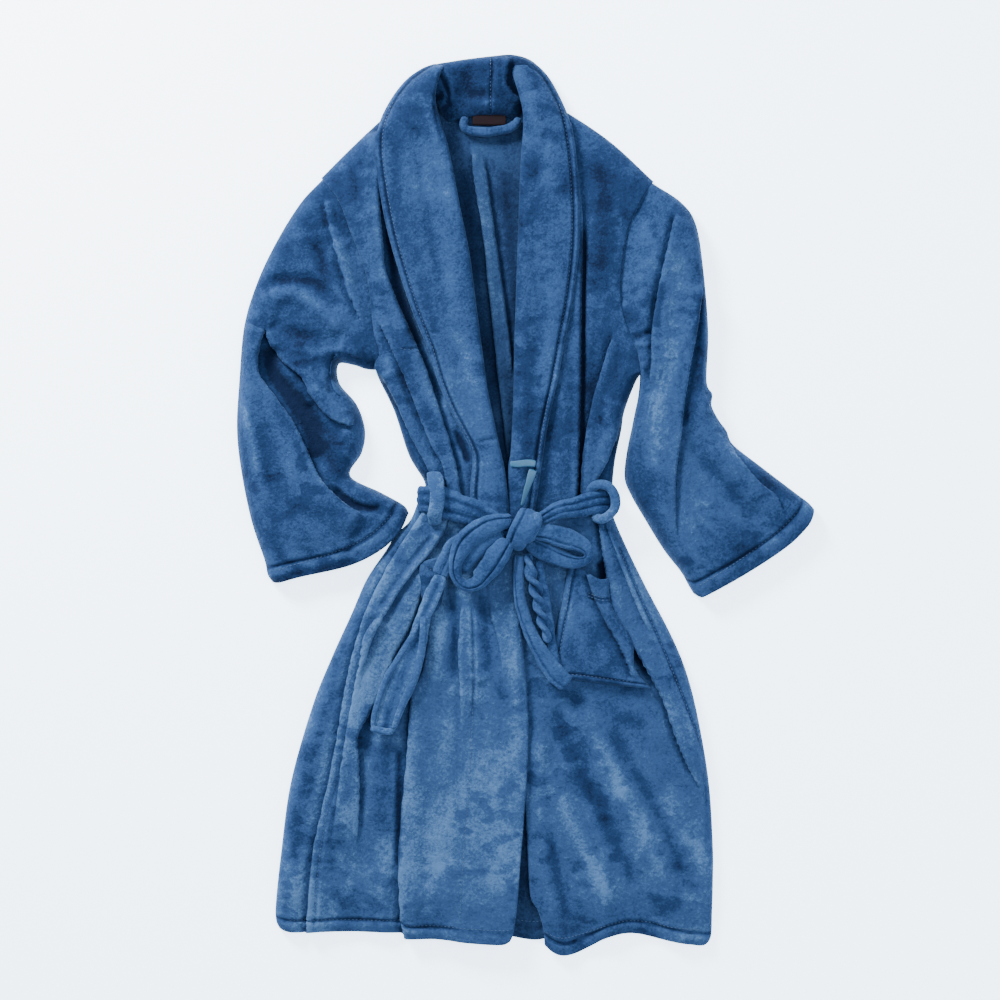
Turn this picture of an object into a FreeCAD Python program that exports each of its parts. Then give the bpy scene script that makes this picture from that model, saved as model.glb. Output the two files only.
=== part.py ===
import FreeCAD, Part
import math
import os

# Plush bathrobe lying flat on its back, front side up, collar towards +Y.
# "right" and "left" are the wearer's: the wearer's right side lies at -X.
# Origin: centre of the outline, on the surface the robe lies on. Millimetres.

# ---------------------------------------------------------------- dimensions
LENGTH = 1084.0          # top of the collar roll to the lowest point of the hem
SPAN = 700.0             # outer cuff corner to outer cuff corner
TOP_Y, HEM_Y = LENGTH / 2, -LENGTH / 2
BACK_T = 4.0             # one layer of plush cloth in the back
CLOTH = 5.0              # front cloth, pile on both faces
LEFT_Z = 14.0            # underside of the left front, the layer underneath
RIGHT_Z = 20.0           # underside of the right front, which laps over it
SIDE_RUN = 14.0          # width over which a front rolls down to its side seam
SLEEVE_H = 34.0          # height of a sleeve lying on its side
WALL = 4.0               # sleeve cloth
CUFF_DEPTH = 22.0        # stitched hem of a sleeve
HEM_DEPTH = 18.0         # stitched hem of the skirt
GAP = 0.5                # clearance between pieces that move on each other
SASH_W = 48.0            # sash, flat
SASH_T = 3.0             # sash, one pressed layer
POCKET_GAP = 5.5         # room for a hand in a pocket lying flat
POCKET_T = 3.5
RIGHT_TOP = RIGHT_Z + CLOTH
LEFT_TOP = LEFT_Z + CLOTH
WAIST_LIFT = SASH_T + 0.2    # the back rides over the sash that passes under it

# ---------------------------------------------------------------- outlines
# Each outline runs from the collar to the hem, as (x, y) corners.
# The armhole is straight: it is the line along which a sleeve folds over.
RIGHT_SIDE = [(-166, 478), (-170, 470), (-242, 398), (-178, 164), (-142, 80), (-124, 36),
              (-124, -26), (-176, -76), (-224, -208), (-260, -304), (-284, -388),
              (-296, -448), (-302, -530)]
LEFT_SIDE = [(46, 478), (50, 470), (160, 392), (141, 170), (128, 140), (112, 92), (98, 36),
             (98, -26), (136, -76), (166, -160), (196, -244), (214, -328), (224, -424),
             (226, -560)]
RIGHT_EDGE = [(-104, 478), (-92, 428), (-77, 344), (-50, 248), (-32, 92), (-21, -16),
              (-14, -100), (-4, -200), (-3, -280), (-8, -424), (-17, -530)]
LEFT_EDGE = [(-8, 478), (-8, 368), (-14, 248), (-17, 128), (-40, 0), (-50, -100),
             (-30, -200), (4, -300), (4, -388), (13, -482), (22, -560)]
RIGHT_SEAM = [(-70, 80), (-68, -16), (-62, -112), (-68, -304), (-80, -472), (-84, -530)]
LEFT_SEAM = [(20, -16), (12, -100), (30, -200), (60, -300), (62, -388), (72, -482), (82, -560)]
# Lines along which the lower front corners turn back.
RIGHT_FOLD = [(-8, -180), (-124, -530)]
LEFT_FOLD = [(6, -300), (150, -548)]


def x_at(path, y):
    """Where an outline crosses the line of constant y."""
    for (xa, ya), (xb, yb) in zip(path, path[1:]):
        if yb <= y <= ya:
            return xa + (xb - xa) * (ya - y) / (ya - yb)
    (xa, ya), (xb, yb) = (path[0], path[1]) if y > path[0][1] else (path[-2], path[-1])
    return xa + (xb - xa) * (ya - y) / (ya - yb)


def wire(points):
    vectors = [FreeCAD.Vector(*p) for p in points]
    return Part.makePolygon(vectors + vectors[:1])


def skin(sections):
    """Solid through closed sections that have the same number of corners."""
    solid = Part.makeLoft([wire(s) for s in sections], True, True)
    if solid.Volume < 0:
        solid.reverse()
    return solid


def prism(plan, z0, z1):
    face = Part.Face(wire([(x, y, z0) for x, y in plan]))
    return face.extrude(FreeCAD.Vector(0, 0, z1 - z0))


def save(name, shape):
    shape = shape.removeSplitter()
    solids = shape.Solids
    if len(solids) != 1 or not shape.isValid():
        print("CHECK", name, len(solids), shape.isValid())
    solids[0].exportStep("parts/%s.step" % name)


def back_lift(y):
    """Height of the back's underside: it rises over the sash at the waist."""
    steps = [(44, 0.0), (34, WAIST_LIFT), (-30, WAIST_LIFT), (-40, 0.0)]
    if y >= steps[0][0] or y <= steps[-1][0]:
        return 0.0
    for (ya, za), (yb, zb) in zip(steps, steps[1:]):
        if yb <= y <= ya:
            return za + (zb - za) * (ya - y) / (ya - yb)


def strip(rows, thickness):
    """Cloth through rows of (y, [(x, z underside), ...])."""
    sections = []
    for y, points in rows:
        under = [(x, y, z) for x, z in points]
        over = [(x, y, z + thickness) for x, z in reversed(points)]
        sections.append(under + over)
    return skin(sections)


def heights_in(y_top, y_bottom, paths, extra=()):
    """Every corner height of the outlines between two ends, from the top down."""
    inside = {y for path in paths for _, y in path if y_bottom < y < y_top}
    inside |= {y for y in extra if y_bottom < y < y_top}
    return sorted(inside | {y_top, y_bottom}, reverse=True)


# ---------------------------------------------------------------- back
def back_level(y_top, y_bottom):
    """Flat stretch of the back, lying on the surface."""
    heights = heights_in(y_top, y_bottom, [RIGHT_SIDE, LEFT_SIDE])
    right = [(x_at(RIGHT_SIDE, y), y) for y in heights]
    left = [(x_at(LEFT_SIDE, y), y) for y in reversed(heights)]
    return prism(right + left, 0, BACK_T)


def back_waist():
    """Stretch of the back that rides over the sash."""
    rows = []
    for y in heights_in(44, -40, [RIGHT_SIDE, LEFT_SIDE], (34, -30)):
        z = back_lift(y)
        rows.append((y, [(x_at(RIGHT_SIDE, y), z), (x_at(LEFT_SIDE, y), z)]))
    return strip(rows, BACK_T)


# ---------------------------------------------------------------- fronts
def front(side, inner, plateau, y_top, y_bottom, tip_y, armpit_y):
    """Front panel from its inner line to the side seam, raised off the back."""
    sign = -1 if side is RIGHT_SIDE else 1
    marks = (44, 34, -30, -40, tip_y - 10, y_top - 16, armpit_y + 8)
    rows = []
    for y in heights_in(y_top, y_bottom, [side, inner], marks):
        edge = x_at(side, y)
        seam_z = back_lift(y) + BACK_T
        armhole = armpit_y < y < tip_y
        outer_z = plateau if armhole else seam_z
        inner_z = seam_z if y == y_top and y_top > tip_y else plateau
        points = [(edge, outer_z), (edge - sign * SIDE_RUN, inner_z), (x_at(inner, y), inner_z)]
        rows.append((y, points if sign < 0 else points[::-1]))
    return strip(rows, CLOTH)


def flat(left, right, z, y_top, y_bottom, thickness=CLOTH, left_off=0.0, right_off=0.0):
    """Level strip of cloth between two outlines."""
    rows = []
    for y in heights_in(y_top, y_bottom, [left, right]):
        rows.append((y, [(x_at(left, y) + left_off, z), (x_at(right, y) + right_off, z)]))
    return strip(rows, thickness)


def fronts():
    hem_right, hem_left = -514.0, -526.0
    seam_y = 80.0
    crossing_r, crossing_l = -374.0, -398.0

    # wearer's right: panel down to where the fold line leaves the facing seam
    inner = [(x, y) for x, y in RIGHT_EDGE if y > seam_y] + [(x_at(RIGHT_EDGE, seam_y), seam_y)]
    inner += [(x_at(RIGHT_SEAM, seam_y - 1), seam_y - 1)]
    inner += [(x, y) for x, y in RIGHT_SEAM if crossing_r < y < seam_y - 1]
    inner += [(x_at(RIGHT_FOLD, y) - GAP, y) for y in (crossing_r - 6, -530)]
    save("right_front_panel", front(RIGHT_SIDE, inner, RIGHT_Z, 470.0, hem_right + HEM_DEPTH, 398.0, 164.0))
    top = flat(RIGHT_SEAM, RIGHT_EDGE, RIGHT_Z, seam_y - 1, -181.0)
    tail = flat(RIGHT_SEAM, RIGHT_FOLD, RIGHT_Z, -181.0, -360.0, right_off=-GAP)
    save("right_facing_upper", top.fuse(tail))
    upper = flat(RIGHT_FOLD, RIGHT_EDGE, RIGHT_Z, -200.0, -375.0, left_off=GAP)
    lower = flat(RIGHT_SEAM, RIGHT_EDGE, RIGHT_Z, -375.0, -506.0)
    save("right_facing_lower", upper.fuse(lower))
    save("right_front_corner", flat(RIGHT_FOLD, RIGHT_SEAM, RIGHT_Z, -392.0, -506.0, left_off=GAP))
    save("right_hem_corner", flat(RIGHT_FOLD, RIGHT_EDGE, RIGHT_Z, -506.0, -524.0, left_off=GAP))
    rows = []
    for y in (hem_right + HEM_DEPTH, hem_right):
        edge = x_at(RIGHT_SIDE, y)
        rows.append((y, [(edge, BACK_T), (edge + SIDE_RUN, RIGHT_Z), (x_at(RIGHT_FOLD, y) - GAP, RIGHT_Z)]))
    save("right_hem_band", strip(rows, CLOTH))

    # wearer's left, one layer lower
    inner = [(x, y) for x, y in LEFT_EDGE if y > -16] + [(x_at(LEFT_EDGE, -16), -16)]
    inner += [(x_at(LEFT_SEAM, -17), -17)]
    inner += [(x, y) for x, y in LEFT_SEAM if crossing_l < y < -17]
    inner += [(x_at(LEFT_FOLD, y) + GAP, y) for y in (crossing_l - 4, -548)]
    save("left_front_panel", front(LEFT_SIDE, inner, LEFT_Z, 461.0, hem_left + HEM_DEPTH, 392.0, 170.0))
    top = flat(LEFT_EDGE, LEFT_SEAM, LEFT_Z, -17.0, -298.0)
    tail = flat(LEFT_FOLD, LEFT_SEAM, LEFT_Z, -298.0, -388.0, left_off=GAP)
    save("left_facing_upper", top.fuse(tail))
    upper = flat(LEFT_EDGE, LEFT_FOLD, LEFT_Z, -314.0, -396.0, right_off=-GAP)
    lower = flat(LEFT_EDGE, LEFT_SEAM, LEFT_Z, -396.0, -524.0)
    save("left_facing_lower", upper.fuse(lower))
    save("left_front_corner", flat(LEFT_SEAM, LEFT_FOLD, LEFT_Z, -408.0, -524.0, right_off=-GAP))
    save("left_hem_corner", flat(LEFT_EDGE, LEFT_FOLD, LEFT_Z, -524.0, HEM_Y, right_off=-GAP))
    rows = []
    for y in (hem_left + HEM_DEPTH, hem_left):
        edge = x_at(LEFT_SIDE, y)
        rows.append((y, [(x_at(LEFT_FOLD, y) + GAP, LEFT_Z), (edge - SIDE_RUN, LEFT_Z), (edge, BACK_T)]))
    save("left_hem_band", strip(rows, CLOTH))


# ---------------------------------------------------------------- collar
def roll(stations):
    """Padded band from a sewn inner line to a free outer line.

    Each station: inner (x, y), outer (x, y), underside, height at the inner
    line, height at the fullest point."""
    sections = []
    for (xi, yi), (xo, yo), z0, zi, z1 in stations:
        profile = [(0.0, z0), (0.0, zi), (0.25, z1 - 1.5), (0.6, z1), (0.88, z1 - 2.5),
                   (1.0, (z0 + z1) / 2), (0.96, z0), (0.5, z0)]
        sections.append([(xi + (xo - xi) * f, yi + (yo - yi) * f, z) for f, z in profile])
    return skin(sections)


def collar():
    end_r = ((-103, 482), (-168, 480))
    end_l = ((-6, 482), (46, 480))
    centre = ((-44, 478), (-44, TOP_Y))
    save("collar_right", roll([
        centre + (0, 9, 25), ((-80, 478), (-88, 540)) + (0, 9, 26),
        ((-97, 481), (-130, 526)) + (0, 12, 30), ((-102, 482), (-156, 502)) + (0, 14, 33),
        end_r + (0, 15, 34)]))
    save("collar_left", roll([
        centre + (0, 9, 25), ((-26, 478), (-2, 540)) + (0, 9, 26),
        ((-14, 480), (24, 520)) + (0, 11, 28), ((-8, 481), (40, 500)) + (0, 12, 29),
        end_l + (0, 12, 29)]))
    z0 = RIGHT_TOP
    save("right_lapel", roll([
        end_r + (z0 + 3, 31, 39), ((-95, 430), (-179, 396)) + (z0, 30, 38),
        ((-77, 344), (-161, 310)) + (z0, 30, 37), ((-50, 248), (-117, 190)) + (z0, 29, 36),
        ((-38, 144), (-80, 122)) + (z0, 29, 35), ((-31, 92), (-62, 81)) + (z0, 28, 33)]))
    z0 = LEFT_TOP
    save("left_lapel", roll([
        end_l + (z0 + 3, 25, 33), ((-8, 400), (62, 396)) + (z0, 24, 32),
        ((-12, 280), (59, 276)) + (z0, 24, 31), ((-16, 150), (36, 150)) + (z0, 24, 30),
        ((-17, 60), (22, 56)) + (z0, 24, 29.5), ((-19, -16), (16, -16)) + (z0, 24, 29)]))


def neck():
    save("neck_band", prism([(-96, 471), (-14, 471), (-14, 478), (-96, 478)], BACK_T, BACK_T + 2.5))
    save("neck_label", prism([(-65, 458), (-24, 458), (-24, 471), (-65, 471)], BACK_T, BACK_T + 1))
    radius, rise, half, drop = 5.0, 10.4, 28.5, 15.0
    mid, top = -43.5, 466.0
    bend = 8.0
    legs = top - drop
    corner = bend * (1 - math.sqrt(0.5))
    v = FreeCAD.Vector
    left, right = mid - half, mid + half
    path = Part.Wire([
        Part.makeLine(v(left, top, rise), v(left, legs + bend, rise)),
        Part.Arc(v(left, legs + bend, rise), v(left + corner, legs + corner, rise),
                 v(left + bend, legs, rise)).toShape(),
        Part.makeLine(v(left + bend, legs, rise), v(right - bend, legs, rise)),
        Part.Arc(v(right - bend, legs, rise), v(right - corner, legs + corner, rise),
                 v(right, legs + bend, rise)).toShape(),
        Part.makeLine(v(right, legs + bend, rise), v(right, top, rise))])
    section = Part.Wire([Part.makeCircle(radius, v(left, top, rise), v(0, -1, 0))])
    save("hanger_loop", path.makePipeShell([section], True, True))


# ---------------------------------------------------------------- sleeves
def offset(path, distance):
    """Open path moved sideways, to its left when the distance is positive."""
    moved = []
    for i, (x, y) in enumerate(path):
        before = path[max(i - 1, 0)]
        after = path[min(i + 1, len(path) - 1)]
        normals = []
        for (xa, ya), (xb, yb) in ((before, (x, y)), ((x, y), after)):
            length = math.hypot(xb - xa, yb - ya)
            if length > 0:
                normals.append((-(yb - ya) / length, (xb - xa) / length))
        nx = sum(n[0] for n in normals) / len(normals)
        ny = sum(n[1] for n in normals) / len(normals)
        scale = distance / (nx * nx + ny * ny)
        moved.append((x + nx * scale, y + ny * scale))
    return moved


def extend(path, end):
    """Open path made longer at its last end."""
    (xa, ya), (xb, yb) = path[-2], path[-1]
    f = end / math.hypot(xb - xa, yb - ya)
    return path + [(xb + (xb - xa) * f, yb + (yb - ya) * f)]


def depth_point(corner, behind, edge_a, edge_b, depth):
    """Point on the line corner-behind that lies a given depth inside an edge."""
    ex, ey = edge_b[0] - edge_a[0], edge_b[1] - edge_a[1]
    length = math.hypot(ex, ey)
    far = abs((behind[0] - corner[0]) * -ey + (behind[1] - corner[1]) * ex) / length
    f = depth / far
    return (corner[0] + (behind[0] - corner[0]) * f, corner[1] + (behind[1] - corner[1]) * f)


def sleeve(name, outer, inner, armhole, inward, chest_x):
    """Flattened sleeve tube, open at the armhole and at the cuff."""
    split_o = depth_point(outer[-1], outer[-2], outer[-1], inner[-1], CUFF_DEPTH)
    split_i = depth_point(inner[-1], inner[-2], outer[-1], inner[-1], CUFF_DEPTH)
    body = outer[:-1] + [split_o, split_i] + inner[:-1][::-1] + armhole[::-1]
    cuff = [split_o, outer[-1], inner[-1], split_i]
    hollow_o = extend(offset(outer, WALL * inward), 30)
    hollow_i = extend(offset(inner, -WALL * inward), 30)
    reach = [(chest_x, hollow_i[0][1]), (chest_x, hollow_o[0][1])]
    hollow = prism(hollow_o + hollow_i[::-1] + reach, WALL, SLEEVE_H - WALL)
    save("%s_sleeve" % name, prism(body, 0, SLEEVE_H).cut(hollow))
    save("%s_cuff" % name, prism(cuff, 0, SLEEVE_H).cut(hollow))


def sleeves():
    outer = [(-243, 400), (-284, 350), (-317, 278), (-340, 212), (-SPAN / 2, 128),
             (-SPAN / 2, 56), (-341, -16), (-328, -56), (-310, -88)]
    inner = [(-179, 164), (-230, 162), (-213, 140), (-202, 80), (-212, 46), (-184, 20),
             (-141, -7)]
    armhole = [(-242 - GAP - 0.3, 398)]
    sleeve("right", outer, inner, armhole, 1, -150)
    outer = [(161, 394), (196, 356), (208, 308), (216, 248), (220, 176), (224, 134),
             (232, 110), (254, 62), (280, 38), (SPAN / 2, -4)]
    inner = [(142, 169), (137, 120), (132, 58), (135, 20), (160, -52), (205, -109)]
    armhole = [(160 + GAP + 0.3, 392)]
    sleeve("left", outer, inner, armhole, -1, 100)


# ---------------------------------------------------------------- pockets
def pocket(name, corners, top):
    """Patch pocket sewn on three sides, open along its upper edge."""
    (ax, ay), (bx, by), (cx, cy), (dx, dy) = corners
    f = 26.0 / abs(ay - dy)
    left = (ax + (dx - ax) * f, ay + (dy - ay) * f)
    right = (bx + (cx - bx) * f, by + (cy - by) * f)
    rim = 4.0
    hand = [(ax + rim, ay + 40), (dx + rim, dy + rim), (cx - rim, cy + rim), (bx - rim, by + 40)]
    room = prism(hand, top - 1, top + POCKET_GAP)
    outside = top + POCKET_GAP + POCKET_T
    save("%s_pocket" % name, prism([left, (dx, dy), (cx, cy), right], top, outside).cut(room))
    hem = prism([(ax, ay), left, right, (bx, by)], top, outside + 0.5)
    save("%s_pocket_hem" % name, hem.cut(room))


# ---------------------------------------------------------------- sash
def strap(nodes):
    """Flat strap: each node is (x, z inside), (x, z outside), y from, y to."""
    sections = []
    for (xi, zi), (xo, zo), y0, y1 in nodes:
        sections.append([(xi, y0, zi), (xi, y1, zi), (xo, y1, zo), (xo, y0, zo)])
    return skin(sections)


def tail(path, width, thickness):
    """Strap lying on its flat side, through (x, y, z underside) points."""
    sections = []
    for i, (x, y, z) in enumerate(path):
        xa, ya, _ = path[max(i - 1, 0)]
        xb, yb, _ = path[min(i + 1, len(path) - 1)]
        length = math.hypot(xb - xa, yb - ya)
        nx, ny = -(yb - ya) / length * width / 2, (xb - xa) / length * width / 2
        t = thickness
        sections.append([(x - nx, y - ny, z), (x + nx, y + ny, z), (x + nx, y + ny, z + t * 0.7),
                         (x, y, z + t), (x - nx, y - ny, z + t * 0.7)])
    return skin(sections)


def ring(outside, eye, z0, z1):
    return prism(outside, z0, z1).cut(prism(eye, z0 - 1, z1 + 1))


def sash():
    half = SASH_W / 2
    save("sash_back", Part.makeBox(224, SASH_W, SASH_T, FreeCAD.Vector(-125, 2 - half, 0)))
    save("sash_right", strap([
        ((-125, SASH_T), (-125, 0), 2 - half, 2 + half),
        ((-125.5, 4), (-130, 2), -23, 26), ((-125.5, 14), (-130, 15.5), -25, 25),
        ((-112, 25.7), (-114, 30.5), -27, 23), ((-60, 25.7), (-60, 31.5), -36, 12),
        ((-21, 29.6), (-21, 38), -48, -10)]))
    save("sash_left", strap([
        ((99, SASH_T), (99, 0), 2 - half, 2 + half),
        ((99.5, 4), (104, 2), -21, 26), ((99.5, 14), (104, 15.5), -20, 26),
        ((86, 19.7), (88, 25), -14, 25), ((50, 20), (50, 27), -9, 17),
        ((24, 29), (24, 36), -20, 6), ((14, 30), (14, 40), -26, 1)]))
    knot = []
    for z, grow in ((29.6, 0.72), (35, 1.0), (47, 1.0), (54, 0.66)):
        ring_points = []
        for k in range(10):
            a = math.radians(18 + 36 * k)
            ring_points.append((-3.5 + 18.4 * grow * math.cos(a), -30 + 23.6 * grow * math.sin(a), z))
        knot.append(ring_points)
    save("sash_knot", skin(knot))
    save("right_bow_loop", ring(
        [(-21.5, -24), (-45, -16), (-74, -22), (-91, -44), (-93, -70), (-80, -94), (-60, -100),
         (-42, -84), (-21.5, -40)],
        [(-40, -42), (-56, -34), (-72, -44), (-77, -62), (-69, -78), (-56, -80), (-46, -64)],
        41, 52))
    save("left_bow_loop", ring(
        [(14.5, -27), (36, -28), (64, -37), (81, -47), (80, -60), (66, -74), (44, -76),
         (14.5, -40)],
        [(34, -42), (54, -44), (67, -52), (60, -62), (46, -62)], 27, 40))
    save("right_tail_root", tail([(-22, -62, 26), (-62, -64, 28), (-90, -70, 32.5)], 21, 6))
    save("right_tail", tail([
        (-98, -80, 34.8), (-116, -124, 34.8), (-129, -172, 34.8), (-147, -208, 34.8),
        (-170, -266, 28)], 26, 6))
    save("left_tail", tail([
        (-3, -57, 28.8), (2, -130, 28.8), (26, -184, 28.8), (52, -214, 28.8)], 18, 12))
    for name, x0, top, inside in (("right", -111, RIGHT_TOP, 31.6), ("left", 68, LEFT_TOP, 27.2)):
        y0, y1, outside = -37, 36, inside + 3.5
        section = [(y0, top), (y0, outside), (y1, outside), (y1, top), (y1 - 4, top),
                   (y1 - 4, inside), (y0 + 4, inside), (y0 + 4, top)]
        face = Part.Face(wire([(x0, y, z) for y, z in section]))
        save("%s_belt_loop" % name, face.extrude(FreeCAD.Vector(16, 0, 0)))


def inner_tie():
    z = 30.2
    save("inner_tie_root", prism([(-18, 46), (13, 44), (15, 55), (-18, 57)], z, z + 1.2))
    hang = [(4, 43.4), (14, 43.4), (0, 6), (-10, 6)]
    save("inner_tie_end", prism(hang, z, z + 1.2))


os.makedirs("parts", exist_ok=True)
save("back_panel", back_level(478.0, 44).fuse(back_waist()).fuse(back_level(-40, -514.0)))
save("back_hem_band", back_level(-514.0, -532.0))
fronts()
collar()
neck()
sleeves()
pocket("right", [(-184, -70), (-117, -66), (-117, -186), (-196, -190)], RIGHT_TOP)
pocket("left", [(40, -84), (103, -88), (158, -218), (56, -214)], LEFT_TOP)
sash()
inner_tie()
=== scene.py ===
import math

import bpy
import numpy as np
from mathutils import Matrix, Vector


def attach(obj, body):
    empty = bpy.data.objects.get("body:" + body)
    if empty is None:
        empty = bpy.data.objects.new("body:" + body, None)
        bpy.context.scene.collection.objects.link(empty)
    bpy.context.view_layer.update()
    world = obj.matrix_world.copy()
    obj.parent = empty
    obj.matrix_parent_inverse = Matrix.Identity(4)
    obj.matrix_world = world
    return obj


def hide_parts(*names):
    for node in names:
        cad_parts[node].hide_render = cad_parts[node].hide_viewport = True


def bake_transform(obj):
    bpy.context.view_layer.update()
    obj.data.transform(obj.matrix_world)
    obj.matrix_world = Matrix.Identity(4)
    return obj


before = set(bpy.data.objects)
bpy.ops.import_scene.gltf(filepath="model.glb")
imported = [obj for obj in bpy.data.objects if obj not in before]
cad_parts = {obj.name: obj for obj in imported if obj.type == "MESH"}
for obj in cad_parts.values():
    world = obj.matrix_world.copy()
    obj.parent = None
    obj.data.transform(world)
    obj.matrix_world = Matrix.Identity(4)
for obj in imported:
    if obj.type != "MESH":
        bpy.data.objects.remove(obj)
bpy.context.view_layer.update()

# Plush bathrobe lying on its back with its sash tied in a bow. Lengths are millimetres until
# the meshes are made; "right" and "left" are the wearer's, and the wearer's right is at -X.
# Most points of the outlines and folds were marked by eye on the photo. A scratch program
# turned the marks into rounded millimetres, at a guessed 1.2 mm to the photo's pixel.
MM = 0.001
CLOTH = 5.0            # thickness of the plush cloth
STEP = 2.7             # spacing of the cloth meshes

EDGE = (0, 0.35, 1.1, 2.4)              # extra lines near a rounded edge
TURN = (0, 0.5, 1.6, 3.4, 6, 9.5, 14)   # extra lines where cloth curves down to the side
CUFF, SKIRT = 21.0, 15.5                # how far in the cuffs' and the skirts' hems are sewn
SASH = 0.05                             # usual sewn width of a sash, in metres; not measured
NARROWEST = 0.01                        # smallest flat width a sheet may have, in metres
STROKES = 0.4                           # strength of the pile's brushed strokes
LEAN, LEAN_WIDTH = 0.95, 14             # how far steep cloth leans, and over how many points


# ------------------------------------------------------------------ lines and noise
def smooth(t):
    t = np.clip(t, 0, 1)
    return t * t * (3 - 2 * t)


def curve(points, step=3.0, count=None):
    """Smooth line through points, sampled every step or count times in each stretch."""
    p = np.array(points, float)
    p = np.vstack([2 * p[0] - p[1], p, 2 * p[-1] - p[-2]])
    out = []
    for a, b, c, d in zip(p, p[1:], p[2:], p[3:]):
        n = count or max(1, round(float(np.linalg.norm(c - b)) / step))
        for t in np.arange(n) / n:
            out.append(0.5 * (2 * b + (c - a) * t + (2 * a - 5 * b + 4 * c - d) * t ** 2
                              + (3 * b - a - 3 * c + d) * t ** 3))
    return np.array(out + [p[-2]])


def run(line):
    return np.concatenate([[0], np.cumsum(np.linalg.norm(np.diff(line, axis=0), axis=1))])


def at(line, t, s=None):
    """Points at shares t of a line's length, or of the lengths s."""
    s = run(line) if s is None else s
    return np.stack([np.interp(t * s[-1], s, line[:, k]) for k in range(line.shape[1])], -1)


def noise(x, y, size, seed):
    """Smooth random values from -1 to 1, about size from one lump to the next."""
    table = np.random.default_rng(seed).uniform(-1, 1, (97, 97))
    a, b = (0.83 * x + 0.56 * y) / size + 31, (0.83 * y - 0.56 * x) / size + 17
    i, j = np.floor(a).astype(int), np.floor(b).astype(int)
    f, g = smooth(a - i), smooth(b - j)
    i0, i1, j0, j1 = i % 97, (i + 1) % 97, j % 97, (j + 1) % 97
    return ((table[i0, j0] * (1 - f) + table[i1, j0] * f) * (1 - g)
            + (table[i0, j1] * (1 - f) + table[i1, j1] * f) * g)


def near(line, x, y):
    """Distance from a line, positive on its left, the place along it, and its length."""
    best, side, along, s = np.full(x.shape, 1e9), np.zeros(x.shape), np.zeros(x.shape), 0.0
    for (ax, ay), (bx, by) in zip(line, line[1:]):
        dx, dy = bx - ax, by - ay
        n = math.hypot(dx, dy) or 1e-6
        t = np.clip(((x - ax) * dx + (y - ay) * dy) / n ** 2, 0, 1)
        ex, ey = x - ax - t * dx, y - ay - t * dy
        r = np.hypot(ex, ey)
        closer = r < best
        best = np.where(closer, r, best)
        side = np.where(closer, np.sign(dx * ey - dy * ex), side)
        along = np.where(closer, s + t * n, along)
        s += n
    return best * side, along, s


# ------------------------------------------------------------------ folds
def ridge(points, height, width, fade=(30, 30)):
    """Rounded fold along a line, or a valley if the height is negative."""
    line = curve(points, 9)

    def lift(x, y):
        d, s, total = near(line, x, y)
        ends = smooth(s / fade[0] if fade[0] else 1) * smooth((total - s) / fade[1] if fade[1] else 1)
        return height * np.exp(-(d / width) ** 2) * ends
    return lift


def fold(points, height, spread, side=1, lip=4.5, fade=(30, 30), dip=0.3):
    """Cloth that stands up along a line and eases back down over spread on one side of it.
    side 1 is the left of a line's direction: +X for one that runs down the robe."""
    line = curve(points, 9)

    def lift(x, y):
        d, s, total = near(line, x, y)
        d = d * side
        ends = smooth(s / fade[0] if fade[0] else 1) * smooth((total - s) / fade[1] if fade[1] else 1)
        rise = np.sqrt(1 - (1 - np.clip(d / lip, 0, 1)) ** 2) / (1 + (np.clip(d, 0, None) / spread) ** 2)
        under = -dip * np.exp(-(d / 6.0) ** 2) * (d < 0)
        return height * (rise + under) * ends
    return lift


def seam(points, depth=1.6, width=1.9, puff=0.9):
    """Line of stitching: a narrow groove between two soft ridges."""
    line = curve(points, 9)

    def lift(x, y):
        d, s, total = near(line, x, y)
        ends = smooth(s / 6) * smooth((total - s) / 6)
        return (puff * np.exp(-(d / 7.0) ** 2) - depth * np.exp(-(d / width) ** 2)) * ends
    return lift


# ------------------------------------------------------------------ meshes
class Cloth:
    """Vertices, faces, shade (brushed pile with painted shade and highlight) and material
    numbers of one piece.
    """

    def __init__(self):
        self.verts, self.faces, self.shade, self.kinds = [], [], [], []
        self.size = 0

    def add(self, verts, faces, shade, kind=0):
        verts = np.asarray(verts, float).reshape(-1, 3)
        self.verts.append(verts)
        self.shade.append(np.broadcast_to(np.asarray(shade, float), (len(verts),)))
        self.faces += [tuple(i + self.size for i in f) for f in faces]
        self.kinds += [kind] * len(faces)
        self.size += len(verts)


def places(length, step, first, last):
    """Shares of a length: even steps, with the given extra distances near the two ends."""
    marks = [d / length for d in first] + [1 - d / length for d in last]
    even = np.linspace(0, 1, max(2, round(length / step) + 1))
    gap = 0.55 * step / length
    kept = [t for t in even if all(abs(t - m) > gap for m in marks)]
    return np.array(sorted(set(kept + marks)))


def patch(left, right, top=None, bottom=None, fine=((), (), (), ()), step=STEP):
    """Grid of points inside four edges: rows go down the piece, columns across it."""
    if len(left) == len(right):
        a, b = curve(left, count=16), curve(right, count=16)
    else:
        t = np.linspace(0, 1, 240)
        a, b = at(curve(left), t), at(curve(right), t)
    middle = run((a + b) / 2)
    v = places(middle[-1], step, fine[2] or (0,), fine[3] or (0,))
    a, b = at(a, v, middle), at(b, v, middle)
    width = float(np.mean(np.linalg.norm(b - a, axis=1)))
    u = places(width, step, fine[0] or (0,), fine[1] or (0,))
    grid = a[:, None] * (1 - u)[:, None] + b[:, None] * u[:, None]
    for edge, row, w in ((top, 0, v), (bottom, -1, 1 - v)):
        if edge:
            bent = at(curve(edge), u) - grid[row]
            fall = np.clip(1 - w * middle[-1] / 120, 0, 1) ** 2
            grid = grid + fall[:, None, None] * bent[None]
    return grid


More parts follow.
